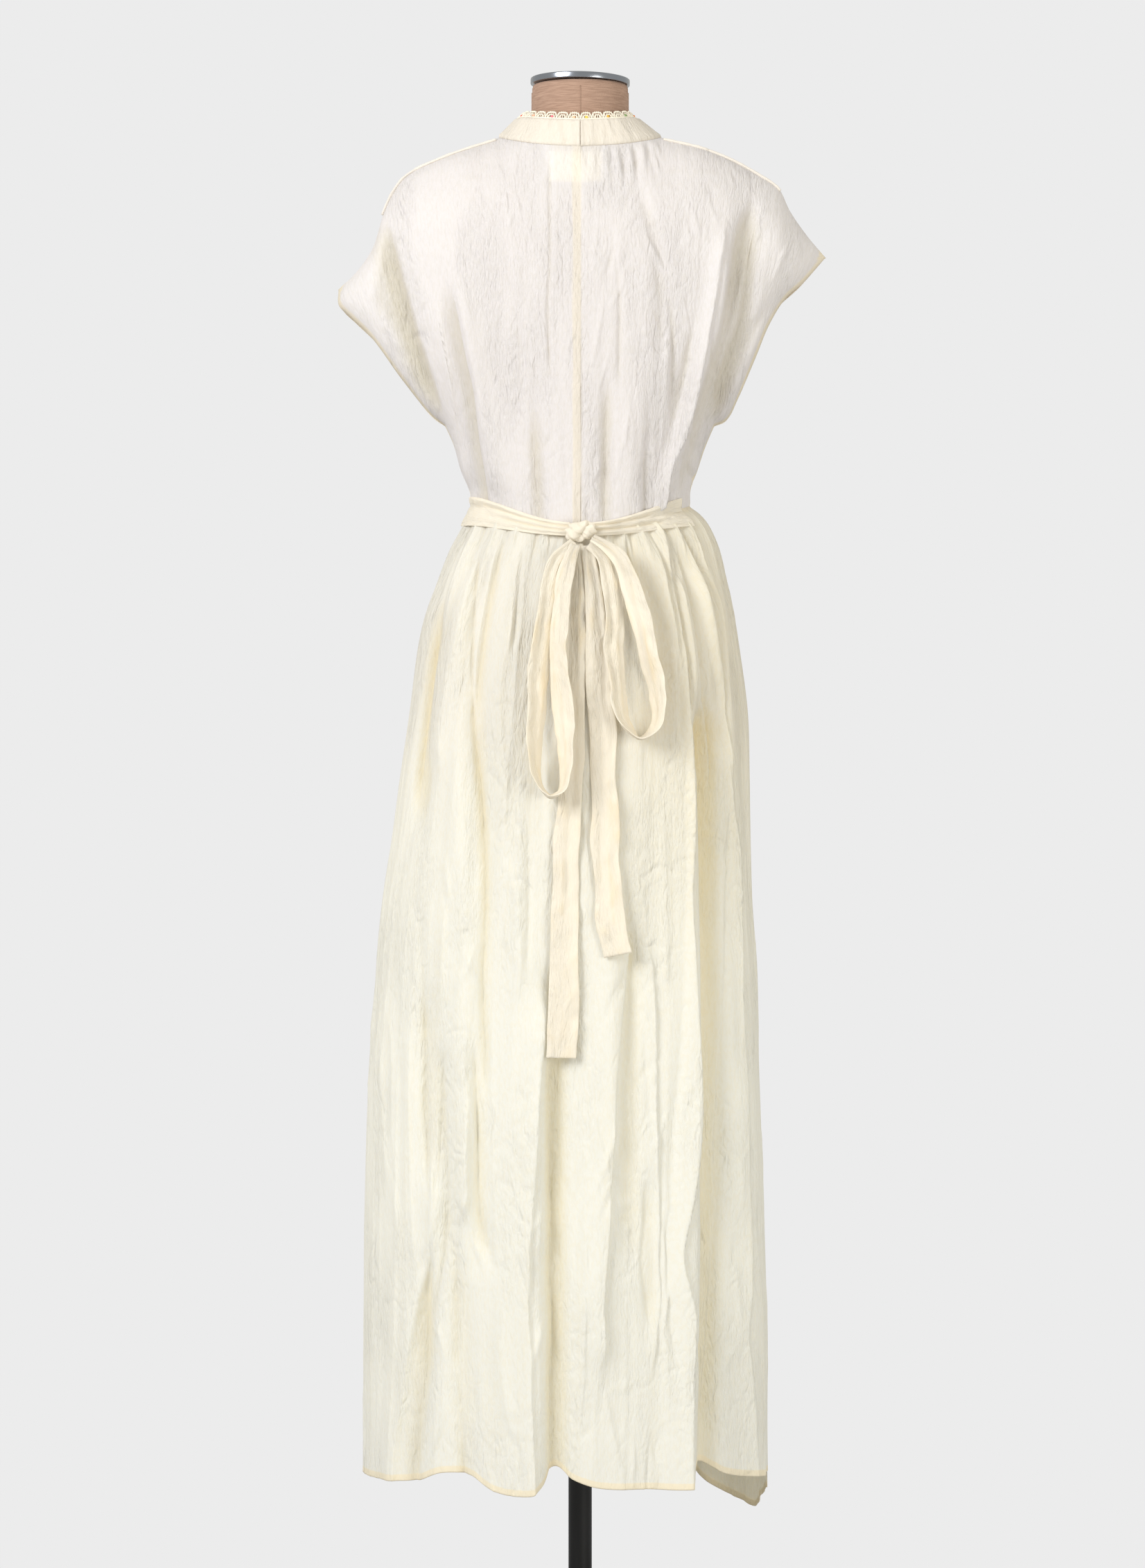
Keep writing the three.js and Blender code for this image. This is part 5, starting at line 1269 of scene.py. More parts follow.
def skirt_valley(face, turn, drop, relief):
    """Painted shade on the skirt, as a share of its deep colour: in its valleys, stronger in its upper
    part; over its upper part, growing towards +X, the side away from the key lamp; on the front unevenly,
    and along its lowest part, which lies in shadow.
    """
    upper = 1 - smooth(drop, 120, 650)
    # a creamier upper part, with painted shade growing towards +X, away from the key lamp
    upper_cream_and_right_shade = upper * (0.05 + 0.2 * smooth(turn, math.radians(-15), math.radians(40)))
    valley = valley_share(relief) * (0.85 + 0.8 * upper) + upper_cream_and_right_shade
    if face == BACK:
        return valley
    valley = 0.6 * valley * smooth(noise(101, turn * 3, drop / 260), -0.5, 0.6)
    # painted shade along the front's lowest part, which lies in shadow
    return np.maximum(valley, 0.4 * smooth(drop, 930, 1010))


def skirt_panel(face, across, down):
    turn = steps_to(across, -math.pi / 2, math.pi / 2)[None, :]
    foot = read(HEM[face], "x", "z", skirt_ring(face, turn, np.array(1000.0))[0][..., 0])
    length = waist_height(face, turn) - foot
    hem, rows = SKIRT_HEM["height"], SKIRT_HEM["rows"]
    main = steps_to(down)[:, None] ** 1.12 * (length - hem)
    tail = (length - hem) + hem * (np.arange(1, rows + 1) / rows)[:, None]
    drop = np.concatenate([main, tail])
    point, out, relief = skirt_point(face, turn, drop)
    detail, lean, sharp = skirt_detail(face, turn, drop, point)
    along = unit(np.stack([np.cos(turn) + 0 * drop, -face * np.sin(turn) + 0 * drop, 0 * turn * drop], -1))
    point = point + out * detail[..., None] + along * lean[..., None]
    # painted shade from the folds and creases
    valley = skirt_valley(face, turn, drop, relief + sharp)
    layers = np.maximum(1 - smooth(length - drop, 5.5, 7), 1 - smooth(drop, 2, 6))
    points = turned_under(point, grid_normals(point, -face), rows, SKIRT_HEM["gap"])
    grain = np.stack(grain_of_skirt(turn, drop), -1)
    extra = len(points) - len(point)
    grain = np.concatenate([grain, grain[: -extra - 1 : -1]])
    layers = np.concatenate([layers, np.ones((extra, layers.shape[1]))])
    valley = np.concatenate([valley, valley[: -extra - 1 : -1]])
    name = f"skirt_{FACE_NAMES[face]}"
    thing = sheet_object(f"{name}_cloth", points, -face, grain, layers, valley)
    return place_piece(thing, "cotton", name)


def skirt_back_depth(x, z):
    """Outer face of the skirt's back at places across and up it, without its small creases."""
    turn = np.zeros(np.shape(x))
    for _ in range(6):
        drop = np.maximum(waist_height(BACK, turn) - z, 0)
        turn = np.arcsin(np.clip(x / skirt_half_width(x, drop), -1, 1))
    return -skirt_point(BACK, turn, waist_height(BACK, turn) - z)[0][..., 1]


# ---- Bodice ----

NECK_BACK = curve_of(np.column_stack([NECKLINE_BACK[key] for key in "xyz"]))
FRONT_DEPTHS = clear_depth(FRONT, NECKLINE_FRONT["x"], NECKLINE_FRONT["z"])
FRONT_DEPTHS[0] = -SEAM_DEPTH["neck"]
NECK_FRONT = curve_of(np.column_stack([NECKLINE_FRONT["x"], FRONT_DEPTHS, NECKLINE_FRONT["z"]]))


class Panel:
    """One side of the bodice over u, from the middle line to the side, and v, from the waist up."""

    def __init__(self, face, side):
        self.face, self.side = face, side
        lines = {name: curve_of([(x, 0, z) for x, z in line]) for name, line in OUTLINE[side].items()}
        self.shoulder, self.mouth, self.seam = lines["shoulder"], lines["mouth"], lines["side"]

    def top(self, u):
        share = u / NECK_SHARE if self.face == BACK else 1 - u / NECK_SHARE
        neck = (NECK_BACK if self.face == BACK else NECK_FRONT)(np.clip(share, 0, 1))
        neck = neck * np.array([self.side, 1, 1])
        rest = self.shoulder(share_beyond(u, NECK_SHARE))
        return np.where((u <= NECK_SHARE)[..., None], neck, rest)

    def waist(self, u):
        return skirt_ring(self.face, self.side * u * math.pi / 2, np.zeros(np.shape(u)))[0]

    def edge(self, v):
        low = self.seam(np.clip(v / UNDERARM_ROW, 0, 1))
        high = self.mouth(share_beyond(v, UNDERARM_ROW))
        return np.where((v <= UNDERARM_ROW)[..., None], low, high)

    def top_depth(self, u):
        share = share_beyond(u, NECK_SHARE)
        near = lerp(SEAM_DEPTH["neck"], SEAM_DEPTH["shoulder"], share / 0.45)
        far = lerp(SEAM_DEPTH["shoulder"], SEAM_DEPTH["tip"], smooth(share, 0.45, 1))
        behind = -self.face * np.where(share < 0.45, near, far)
        return np.where(u <= NECK_SHARE, self.face * self.top(u)[..., 1], behind)

    def crown_height(self, u):
        share = share_beyond(u, NECK_SHARE)
        near = lerp(CROWN["neck"], CROWN["shoulder"], share / 0.4)
        far = lerp(CROWN["shoulder"], CROWN["sleeve"], smooth(share, 0.4, 0.75))
        return np.where(share < 0.4, near, far)

    def flat(self, u, v):
        """x and z on the panel's outline, smoothly filled in between its four edges."""
        ends = np.array([0.0, 1.0])
        waist, top = self.waist(u), self.top(u)
        side, corner = self.edge(v), self.edge(ends)
        heights = lerp(self.waist(ends[:1])[0, 2], self.top(ends[:1])[0, 2], v)
        middle = np.stack([0 * v, 0 * v, heights], -1)
        low = lerp(np.array([0, 0, self.waist(ends[:1])[0, 2]]), corner[0], u[..., None])
        high = lerp(np.array([0, 0, self.top(ends[:1])[0, 2]]), corner[1], u[..., None])
        across = lerp(middle, side, u[..., None])
        up = lerp(waist, top, v[..., None])
        place = across + up - lerp(low, high, v[..., None])
        return place[..., 0], place[..., 2], top

    def folds(self, x, z):
        """How far the folds move the cloth out, and to +X."""
        out, along = fold_move(BODICE_FOLDS[self.face], BODICE_LEVELS, x, z, BODICE_FADES["folds"])
        if self.face == BACK and self.side == RIGHT:
            gathers = NECK_GATHERS
            share = (x - gathers["from"]) / (gathers["to"] - gathers["from"])
            below = read(NECKLINE_BACK, "x", "z", x) - z
            fade = smooth(below, 0, 12) * (1 - smooth(below, 18, gathers["length"]))
            inside = (share > 0) & (share < 1)
            wave = np.sin(share * gathers["count"] * 2 * math.pi)
            out = out + np.where(inside, gathers["out"] * wave * fade, 0)
        return out, along

    def point(self, u, v):
        x, z, top = self.flat(u, v)
        if self.face == FRONT:
            mouth = share_beyond(v, UNDERARM_ROW)
            x = x * (1 - 0.02 * np.sin(math.pi * mouth) * u**2)
        share = np.clip(np.abs(x / self.edge(v)[..., 0]), 0, 1)
        power = lerp(2, BODY_POWER, smooth(v, 0, 0.3))
        full = (1 - share**power) ** (1 / power)
        open_share = share_beyond(v, UNDERARM_ROW)
        gap = SLEEVE_MOUTH * np.clip(np.sin(math.pi * open_share), 0, 1) ** 0.8
        gap = gap * smooth(open_share, -0.04, 0.16)
        full = lerp(gap, read(BODICE_DEPTH, "z", FACE_NAMES[self.face], z), full)
        fold, along = self.folds(x, z)
        settled = smooth(1 - u, 0, 0.1) * smooth(v, 0, 0.12)
        fold = fold * settled
        x = x + along * settled
        below = np.hypot(top[..., 0] - x, top[..., 2] - z)
        rise = np.clip(below / self.crown_height(u), 0, 1)
        soft = np.sqrt(1 - (1 - rise) ** 2)
        if self.face == FRONT:
            soft = np.where(u <= NECK_SHARE, smooth(below, 0, 60), soft)
        depth = lerp(self.top_depth(u), full + fold, soft)
        inside = (v < 0.999) & (u < 0.999)
        least = clear_depth(self.face, x, z)
        blend = 1 + 13 * smooth(np.abs(x), 80, 130)
        clear = np.where(inside & (least > 0), soft_max(depth, least, blend), depth)
        return np.stack([x, self.face * clear, z], -1)


def bodice_detail(panel, points, u, v):
    """How far creases, gathers and crinkles move the bodice's cloth out, and to +X."""
    x, z = points[..., 0], points[..., 2]
    edge = smooth(1 - u, 0, 0.05) * smooth(v, 0, 0.02)
    top = smooth(1 - v, 0, 0.03)
    creases = all_creases(BODICE_CREASES[panel.face], BODICE_WRINKLES[panel.face])
    sharp = crease_move(creases, x, z, BODICE_FADES["creases"])
    sharp = (sharp + neck_pleats(panel, x, z)) * top
    across, up = grain_of_bodice(panel, points, v)
    soft = crinkle(51 + panel.face, across, up, 0.7) * lerp(0.8, 1.5, smooth(x, -40, 40))
    soft = (soft + rumple(61 + panel.face, across, up, 0.55)) * top
    soft = soft + waist_pleats(panel, u, z)
    return (sharp + soft) * edge, (0.5 * sharp + 0.3 * soft) * edge, sharp * edge


def neck_pleats(panel, x, z):
    """Short pleats that fan out under the back neckband, mostly right of the middle."""
    if panel.face == FRONT:
        return 0
    out = 0
    for pleat in rows_of(NECK_PLEATS):
        below = read(NECKLINE_BACK, "x", "z", abs(pleat["x"])) - z
        centre = pleat["x"] + pleat["lean"] * below / pleat["length"]
        near = (x - centre) / 2.6
        fade = smooth(below, -2, 5) * (1 - smooth(below, 0.35 * pleat["length"], pleat["length"]))
        out = out + pleat["out"] * np.exp(-near * near) * fade
    return out


def waist_pleats(panel, u, z):
    """Small tucks where the bodice is sewn into the waist."""
    turn = panel.side * u * 90
    rise = z - waist_height(panel.face, np.radians(turn))
    wave = noise(71 + panel.face, turn / 4.5, 0 * turn + 0.5)
    return 1.5 * wave * (1 - smooth(rise, 8, 60))


def grain_of_bodice(panel, points, v):
    """The cloth's own coordinates, unrolled a little round the sides."""
    x, z = points[..., 0], points[..., 2]
    share = np.clip(np.abs(x / panel.edge(v)[..., 0]), 0, 1)
    round_side = 1 - np.sqrt(np.clip(1 - share**2, 0, 1))
    return x + np.sign(x) * 60 * round_side, -z


def soft_max(a, b, blend=2.5):
    return 0.5 * (a + b + np.sqrt((a - b) ** 2 + blend**2))


def eased(points, u):
    """The bodice's grid with the bend at the height of the underarm spread over the cloth."""
    away = (points[..., 2] - UNDERARM["z"]) / UNDERARM["reach"]
    share = np.exp(-(away**2)) * smooth(1 - u, 0, 0.14)
    soft = points.copy()
    for _ in range(int(UNDERARM["passes"] * DETAIL**2)):
        soft[1:-1] = 0.25 * soft[:-2] + 0.5 * soft[1:-1] + 0.25 * soft[2:]
    return lerp(points, soft, share[..., None])


def bodice_half(face, side, columns, rows):
    panel = Panel(face, side)
    neck = steps_to(columns * 0.36, 0, NECK_SHARE)
    sleeve = steps_to(columns * 0.64, NECK_SHARE, 1)[1:]
    u = np.concatenate([neck, sleeve])[None, :]
    v = (np.sin(steps_to(rows) * math.pi / 2) ** 1.1)[:, None]
    u, v = np.broadcast_arrays(u, v)
    points = eased(panel.point(u, v), u)
    normals = grid_normals(points, face * side)
    detail, along, sharp = bodice_detail(panel, points, u, v)
    folds, _ = panel.folds(points[..., 0], points[..., 2])
    # painted shade in the bodice's folds and creases
    valley = valley_share(folds * smooth(1 - u, 0, 0.1) + 2.4 * sharp, 12)
    points = points + normals * detail[..., None]
    points[..., 0] += along * smooth(np.abs(points[..., 0]), 0, 12)
    inside = (v < 0.985) & (u < 0.985)
    deep = face * points[..., 1]
    near = clear_depth(face, points[..., 0], points[..., 2]) - CREASE_PRESS
    points[..., 1] = face * np.where(inside & (near > 0), soft_max(deep, near), deep)
    normals = grid_normals(points, face * side)
    return panel, u, v, points, normals, valley


def hemmed_side(points, normals, grain, layers):
    """Adds the sleeve's turned hem beyond a grid's last column, of an even width."""
    width, gap = SLEEVE_HEM["width"], SLEEVE_HEM["gap"]
    line, out, flat = (np.swapaxes(part, 0, 1)[::-1] for part in (points, normals, grain))
    steps = np.linalg.norm(np.diff(line, axis=0), axis=-1)
    reach = np.concatenate([np.zeros((1, steps.shape[1])), np.cumsum(steps, axis=0)])
    wanted = np.linspace(0, width, 7)
    inner = np.empty((len(wanted), line.shape[1], 3))
    inner_grain = np.empty((len(wanted), line.shape[1], 2))
    for r in range(line.shape[1]):
        for k in range(3):
            away = line[:, r, k] - out[:, r, k] * gap
            inner[:, r, k] = np.interp(wanted, reach[:, r], away)
        for k in range(2):
            inner_grain[:, r, k] = np.interp(wanted, reach[:, r], flat[:, r, k])
    outward = unit(line[0] - line[1])
    fold = line[0] + outward * gap / 2 - out[0] * gap / 2
    inner = np.swapaxes(np.concatenate([fold[None], inner]), 0, 1)
    inner_grain = np.swapaxes(np.concatenate([inner_grain[:1], inner_grain]), 0, 1)
    on_hem = 1 - smooth(np.swapaxes(reach[::-1], 0, 1), width - 1, width + 1)
    layers = np.maximum(layers, on_hem)
    points = np.concatenate([points, inner], axis=1)
    grain = np.concatenate([grain, inner_grain], axis=1)
    layers = np.concatenate([layers, np.ones(inner.shape[:2])], axis=1)
    return points, grain, layers


def middle_seam(x, v):
    """Relief and layers of the centre back seam, with its stitched allowance, and of the label."""
    strip = (1 - smooth(x, 0.6, 1.6)) * smooth(x, -8.6, -7.6)
    label = smooth(x, -31, -28) * (1 - smooth(x, 21, 24)) * smooth(v, 0.895, 0.905)
    edge = np.exp(-(((x - 1.8) / 1.1) ** 2)) + np.exp(-(((x + 8.6) / 1.1) ** 2))
    seam = np.exp(-((x / 0.9) ** 2))
    return -(0.3 * edge + 0.15 * seam - 0.4 * strip), np.maximum(0.6 * strip, 0.2 * label)


def bodice_sheet(face, side, columns, rows):
    """A hemmed half of the bodice: its points, grain, layers and painted shade."""
    panel, u, v, points, normals, valley = bodice_half(face, side, columns, rows)
    grain = np.stack(grain_of_bodice(panel, points, v), -1)
    layers = np.zeros(u.shape)
    if face == BACK:
        relief, layers = middle_seam(points[..., 0], v)
        points = points + normals * relief[..., None]
    points, grain, layers = hemmed_side(points, normals, grain, layers)
    extra = points.shape[1] - valley.shape[1]
    valley = np.concatenate([valley, np.zeros((len(valley), extra))], axis=1)
    return points, grain, layers, valley


def bodice_pieces():
    """The two halves of the back, then the front."""
    for side in (LEFT, RIGHT):
        name = f"bodice_back_{SIDE_NAMES[side]}"
        points, *shares = bodice_sheet(BACK, side, *BODICE_GRIDS[BACK])
        thing = sheet_object(f"{name}_cloth", points, BACK * side, *shares)
        yield place_piece(thing, "cotton", name, material=BODICE_COTTON)
    left, right = (bodice_sheet(FRONT, side, *BODICE_GRIDS[FRONT]) for side in (LEFT, RIGHT))
    joined = [np.concatenate([a[:, ::-1], b[:, 1:]], axis=1) for a, b in zip(left, right)]
    thing = sheet_object("bodice_front_cloth", joined[0], FRONT, *joined[1:])
    yield place_piece(thing, "cotton", "bodice_front", material=BODICE_COTTON)


# ---- Neckband ----

def neckband_edges(side):
    """The sewn and the free edge of half a neckband, from the middle of the back to the V."""
    column = SIDE_NAMES[side]
    back, front = BAND_EDGE_BACK, BAND_EDGE_FRONT
    free_back = curve_of(np.column_stack([back[column], back["y"], back["z"]]))
    depth = clear_depth(FRONT, front[column], front["z"]) + front["lift"]
    depth[0] = back["y"][-1]
    free_front = curve_of(np.column_stack([front[column], depth, front["z"]]))
    near = steps_to(BAND["steps"] * 0.4)
    far = steps_to(BAND["steps"] * 0.6)
    flip = np.array([side, 1, 1])
    sewn = np.concatenate([NECK_BACK(near), NECK_FRONT(far)[1:]]) * flip
    free = np.concatenate([free_back(near), free_front(far)[1:]]) * flip
    return sewn, free


def neckband(side):
    sewn, free = neckband_edges(side)
    share = steps_to(BAND["rows"])[:, None]
    points = lerp(sewn[None], free[None], share[..., None])
    normals = grid_normals(points, side)
    along = lengths_of(sewn)[None, :]
    wide = BAND["width"] * share
    out = 0.55 * crinkle(91 + side, along, wide * 2.2, 1.0) * smooth(along, 0, 6)
    out = out - 0.5 * np.exp(-(((share - 0.12) / 0.05) ** 2))
    out = out - 0.5 * np.exp(-((along / 1.4) ** 2))
    for spot, lean, size, half_width in BAND_PLEATS[side]:
        near = (along - spot - lean * share) / half_width
        out = out + size * np.exp(-near * near)
    edge = smooth(share, 0, 0.06) * smooth(1 - share, 0, 0.06)
    outer = points + normals * (out * edge)[..., None]
    inset = BAND["cloth"] * (0.35 + 0.65 * smooth(np.minimum(share, 1 - share), 0, 0.08))
    inner = outer - normals * inset[..., None]
    name = f"neckband_{SIDE_NAMES[side]}"
    layers = np.full((outer.shape[1], 2 * len(outer)), 0.55)
    thing = shell_object(f"{name}_cloth", outer, inner, (along, -wide), layers=layers)
    return place_piece(thing, "cotton", name, material=BODICE_COTTON)


def neck_trim(side):
    """Crochet edging: a chain along the band's edge, and arches with small loops on it."""
    sewn, free = neckband_edges(side)
    step = max(len(free) // 60, 1)
    edge = curve_of(free[::step], 8)
    rising = curve_of(unit(free - sewn)[::step] * 100, 8)

    def above(share, lift):
        return edge(share) + unit(rising(share)) * lift

    length = lengths_of(free)[-1]
    scallops = int(round(length / TRIM["pitch"]))
    parts = [tube_parts(above(np.linspace(0, 1, 240), 0.6), 0.9, 6)]
    for k in range(scallops):
        low, high = k / scallops, (k + 1) / scallops
        for size, height, cord in ((1.0, TRIM["peak"], TRIM["cord"]), (0.55, 4.2, 0.5)):
            t = np.linspace(-1, 1, 13)
            shares = (low + high) / 2 + t * size * (high - low) / 2
            lift = np.sqrt(np.maximum(1 - t**4, 0)) * height
            parts.append(tube_parts(above(shares, lift[:, None] + 0.4), cord, 5))
        for t in (-0.66, -0.33, 0, 0.33, 0.66):
            share = np.array([(low + high) / 2 + t * (high - low) / 2] * 3)
            lift = np.array([0.4, 3.2, (1 - t**4) ** 0.5 * TRIM["peak"]])
            parts.append(tube_parts(above(share, lift[:, None]), 0.42, 5))
            parts.append(ball_parts(above(share[:1], lift[2] + 0.8)[0], 0.9, 6, 4))
    thing = mesh_object(f"crochet_{SIDE_NAMES[side]}", *merged(parts))
    place_piece(thing, "crochet", f"neck_trim_{SIDE_NAMES[side]}")
    add_beads(side, above, length)


def ball_parts(centre, radius, sides=10, rings=6):
    """Points and faces of a small ball."""
    turn = turns(sides)
    tilt = np.linspace(0.12, math.pi - 0.12, rings)
    circle = [
        np.column_stack([np.sin(t) * np.cos(turn), np.sin(t) * np.sin(turn), np.full(sides, -np.cos(t))])
        for t in tilt
    ]
    points, faces = closed_body(np.array(circle) * radius)
    return points + centre, faces


def add_beads(side, above, length):
    """Small glass beads sewn on the crochet, each in its own colour."""
    for k in range(int(length // BEAD_GAP) + 1):
        share = np.array([min((k * BEAD_GAP + 7) / length, 0.995)])
        place = above(share, 2.4)[0]
        number = k if side == RIGHT else -k - 1
        colour = BEADS[number % len(BEADS)]
        thing = mesh_object(f"bead_{SIDE_NAMES[side]}_{k}", *ball_parts(place, 1.7, 14, 9))
        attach(thing, "root")
        thing.data.materials.append(bead_material(colour))


def bead_material(colour):
    name = "bead_{}_{}_{}".format(*colour)
    return bpy.data.materials.get(name) or plain_material(name, colour, 0.25)


def neck_label():
    """A blank woven label inside the back neck, sewn on over the middle seam."""
    panels = {LEFT: Panel(BACK, LEFT), RIGHT: Panel(BACK, RIGHT)}
    x = np.linspace(-29, 22, 41)
    u = np.abs(x) / 86 * NECK_SHARE * 0.98
    v = np.linspace(0.985, 0.9, 20)[:, None]
    u_grid, v_grid = np.broadcast_arrays(u[None], v)
    sides = {side: panel.point(u_grid, v_grid) for side, panel in panels.items()}
    points = np.where((x < 0)[None, :, None], sides[LEFT], sides[RIGHT])
    normals = grid_normals(points, 1)
    outer = points - normals * 2.2
    thing = shell_object("label", outer, outer - normals * 0.8, None)
    place_piece(thing, "label_satin", "neck_label")


def shoulder_seam(side):
    """A cord of seam allowance that shows through on the shoulder seam."""
    panel = Panel(BACK, side)
    v = math.sin(SHOULDER_ROW * math.pi / 2) ** 1.1
    share = np.linspace(0.012, 0.62, 90)
    u = NECK_SHARE + share * (1 - NECK_SHARE)
    grid_u, grid_v = np.broadcast_arrays(u[None], np.array([v - 0.004, v, v + 0.004])[:, None])
    points = panel.point(grid_u, grid_v)
    normals = grid_normals(points, BACK * side)
    line = points[1] + normals[1] * 1.2
    name = f"shoulder_seam_{SIDE_NAMES[side]}"
    radius = 1.5 + 0.25 * noise(97, share * 40, share * 0 + side)
    thing = mesh_object(f"{name}_cord", *tube_parts(line, radius, 10))
    paint(thing, None, layers=np.full(len(thing.data.vertices), 0.35))
    place_piece(thing, "cotton", name, material=BODICE_COTTON)


# ---- Sashes ----

def lengthwise(creases, across, along):
    """How far the lengthwise creases of a ribbon move it out."""
    out = np.zeros(np.broadcast(across, along).shape)
    for start, end, wide, size, low, high in creases:
        near = (across - lerp(start, end, along)) / wide
        ends = smooth(along, low, low + 0.15) * (1 - smooth(along, high - 0.15, high))
        out = out + size * crest(near) * ends
    return out


def flattened(across, thickness):
    """Half thickness of a flattened tube at places across it, from -0.5 to 0.5."""
    return thickness / 2 * np.sqrt(np.clip(1 - np.abs(2 * across) ** 6, 0.02, 1))


def sash_piece(name, outer, inner, grain, valley):
    layers = np.full((outer.shape[1], 2 * len(outer)), 0.4)
    thing = shell_object(f"{name}_cloth", outer, inner, grain, layers=layers, valley=both_faces(valley))
    return place_piece(thing, "sash_cotton", name)


def sash_stretch(name, from_degrees, to_degrees, flip):
    """A sash over the waist seam, from its side seam to the knot."""
    turn = np.radians(np.linspace(from_degrees, to_degrees, int(140 * DETAIL) + 1))[None, :]
    across = (0.5 * np.sin(np.linspace(-math.pi / 2, math.pi / 2, 25)))[:, None]
    near = np.cos(turn) ** 3
    tall = 2 * lerp(SASH["side"], SASH["back"], near)
    level = lerp(SASH["side_z"], SASH["back_z"], near) + across * tall
    waist = waist_height(BACK, turn)
    drop = np.maximum(waist - level, 0)
    point, normal, _ = skirt_ring(BACK, turn, drop)
    bulge = SASH["lift"] * smooth(drop, 0, WAIST_GATHERS["full"])
    flare = SASH["flare"] * np.maximum(level - waist, 0)
    rise = SASH["rise"] * smooth(np.cos(turn), 0.93, 1)
    share = (turn - turn[0, 0]) / (turn[0, -1] - turn[0, 0])
    along = 1 - share if flip else share
    folds = lengthwise(SASH_CREASES[name], across, along) * smooth(0.5 - np.abs(across), 0, 0.08)
    middle = SASH["off"] + 0.9 + bulge + flare + rise + folds + 0.5 * noise(5, along * 14, across * 3)
    thick = flattened(across, SASH["cloth"])
    point[..., 2] = level
    outer = point + normal * (middle + thick)[..., None]
    inner = point + normal * (middle - thick)[..., None]
    # painted shade in the low places of the sash's creases
    valley = 0.6 * smooth(-folds, 0.3, 2.5)
    return sash_piece(f"sash_{name}", outer, inner, (across * 44, turn * 110), valley)


def ribbon_frames(rows):
    """Centre line and frame of a hanging ribbon, on the skirt's outer face moved out."""
    count = len(rows["x"])
    flat = dense(np.column_stack([rows["x"], 0 * rows["x"], rows["z"]]), 2)
    place = np.arange(2 * count - 1) / 2
    off, yaw, width = (np.interp(place, np.arange(count), rows[key]) for key in ("off", "yaw", "width"))
    reach = np.abs(np.cos(np.radians(yaw))) * width / 2
    depth = [skirt_back_depth(flat[:, 0] + shift, flat[:, 2]) for shift in (-reach, 0 * reach, reach)]
    centres = np.column_stack([flat[:, 0], -(np.max(depth, axis=0) + off), flat[:, 2]])
    fine = dense(centres, 12)
    spots = np.linspace(0, len(place) - 1, len(fine))
    yaw = np.interp(spots, np.arange(len(place)), yaw)
    width = np.interp(spots, np.arange(len(place)), width)
    blur = np.ones(13) / 13
    yaw, width = (np.convolve(np.pad(k, 6, "edge"), blur, "valid") for k in (yaw, width))
    tangent = unit(np.gradient(fine, axis=0))
    turn = np.radians(yaw)
    wide = np.column_stack([np.cos(turn), np.sin(turn), 0 * turn])
    wide = unit(wide - tangent * np.sum(wide * tangent, axis=1, keepdims=True))
    out = unit(np.cross(wide, tangent))
    return fine, wide, out, width


def hanging_ribbon(name):
    centre, wide, out, width = ribbon_frames(RIBBONS[name])
    across = 0.5 * np.sin(np.linspace(-math.pi / 2, math.pi / 2, 15))[:, None]
    length = lengths_of(centre)
    along = (length / length[-1])[None, :]
    seed = 200 + 10 * list(RIBBONS).index(name)
    place = along * length[-1]
    folds = 1.6 * lengthwise(RIBBON_CREASES[name], across, along)
    folds = folds + 1.3 * noise(seed, place / 26, across * 2.6)
    folds = folds + 0.8 * noise(seed + 1, place / 11, across * 4)
    folds = folds + 1.4 * np.abs(across) * noise(seed + 2, place / 15, across * 2)
    folds = folds * smooth(along, 0, 0.05)
    centre = centre + wide * 1.6 * noise(seed + 3, length / 40, 0 * length)[:, None]
    width = width * (1 + 0.09 * noise(seed + 4, length / 28, 0 * length))
    thick = flattened(across, SASH["cloth"])
    line = centre[None] + wide[None] * (across * width[None])[..., None]
    outer = line + out[None] * (folds + thick)[..., None]
    inner = line + out[None] * (folds - thick)[..., None]
    # the last share is painted shade in the low places of the ribbon's creases
    return sash_piece(name, outer, inner, (across * 44, length[None]), 0.7 * smooth(-folds, 0.3, 3))


def sash_knot():
    """The knot: one turn of the sash over the other, with creases along the wrap."""
    turn = turns(KNOT["sides"])[None, :]
    tilt = np.linspace(0.05, math.pi - 0.05, KNOT["rings"])[:, None]
    x, y = np.sin(tilt) * np.cos(turn), np.sin(tilt) * np.sin(turn)
    z = -np.cos(tilt) + 0 * turn
    slant = x * math.cos(0.5) + z * math.sin(0.5)
    creases = 0.07 * np.cos(slant * 9 + 1.6 * z) + 0.05 * np.cos(slant * 17 - 2.2 * x + 2)
    wrap = -0.5 * np.exp(-(((x - 0.35 * z - 0.2) / 0.16) ** 2)) * smooth(-y, 0, 0.5)
    size = 1 + creases + wrap + 0.14 * noise(90, x * 2.2 + 3, z * 2.2 + 3)
    squared = np.sign(x) * np.abs(x) ** 0.8
    points = np.stack([squared * KNOT["wide"], y * KNOT["deep"], z * KNOT["high"]], -1)
    points = points / 2 * size[..., None]
    points[..., 2] += 0.12 * points[..., 0]
    front = skirt_ring(BACK, np.array(0.0), np.array(6.0))[0][1]
    depth = front - KNOT["off"] - KNOT["deep"] / 2 - SASH["lift"]
    points = points + np.array([KNOT["x"], depth, KNOT["z"]])
    thing = mesh_object("knot_cloth", *closed_body(points))
    grain = np.stack(np.broadcast_arrays(slant * 14, turn * 12), -1)
    paint(thing, grain, layers=np.full(points.shape[:2], 0.4))
    return place_piece(thing, "sash_cotton", "sash_knot")


# ---- Set-up ----

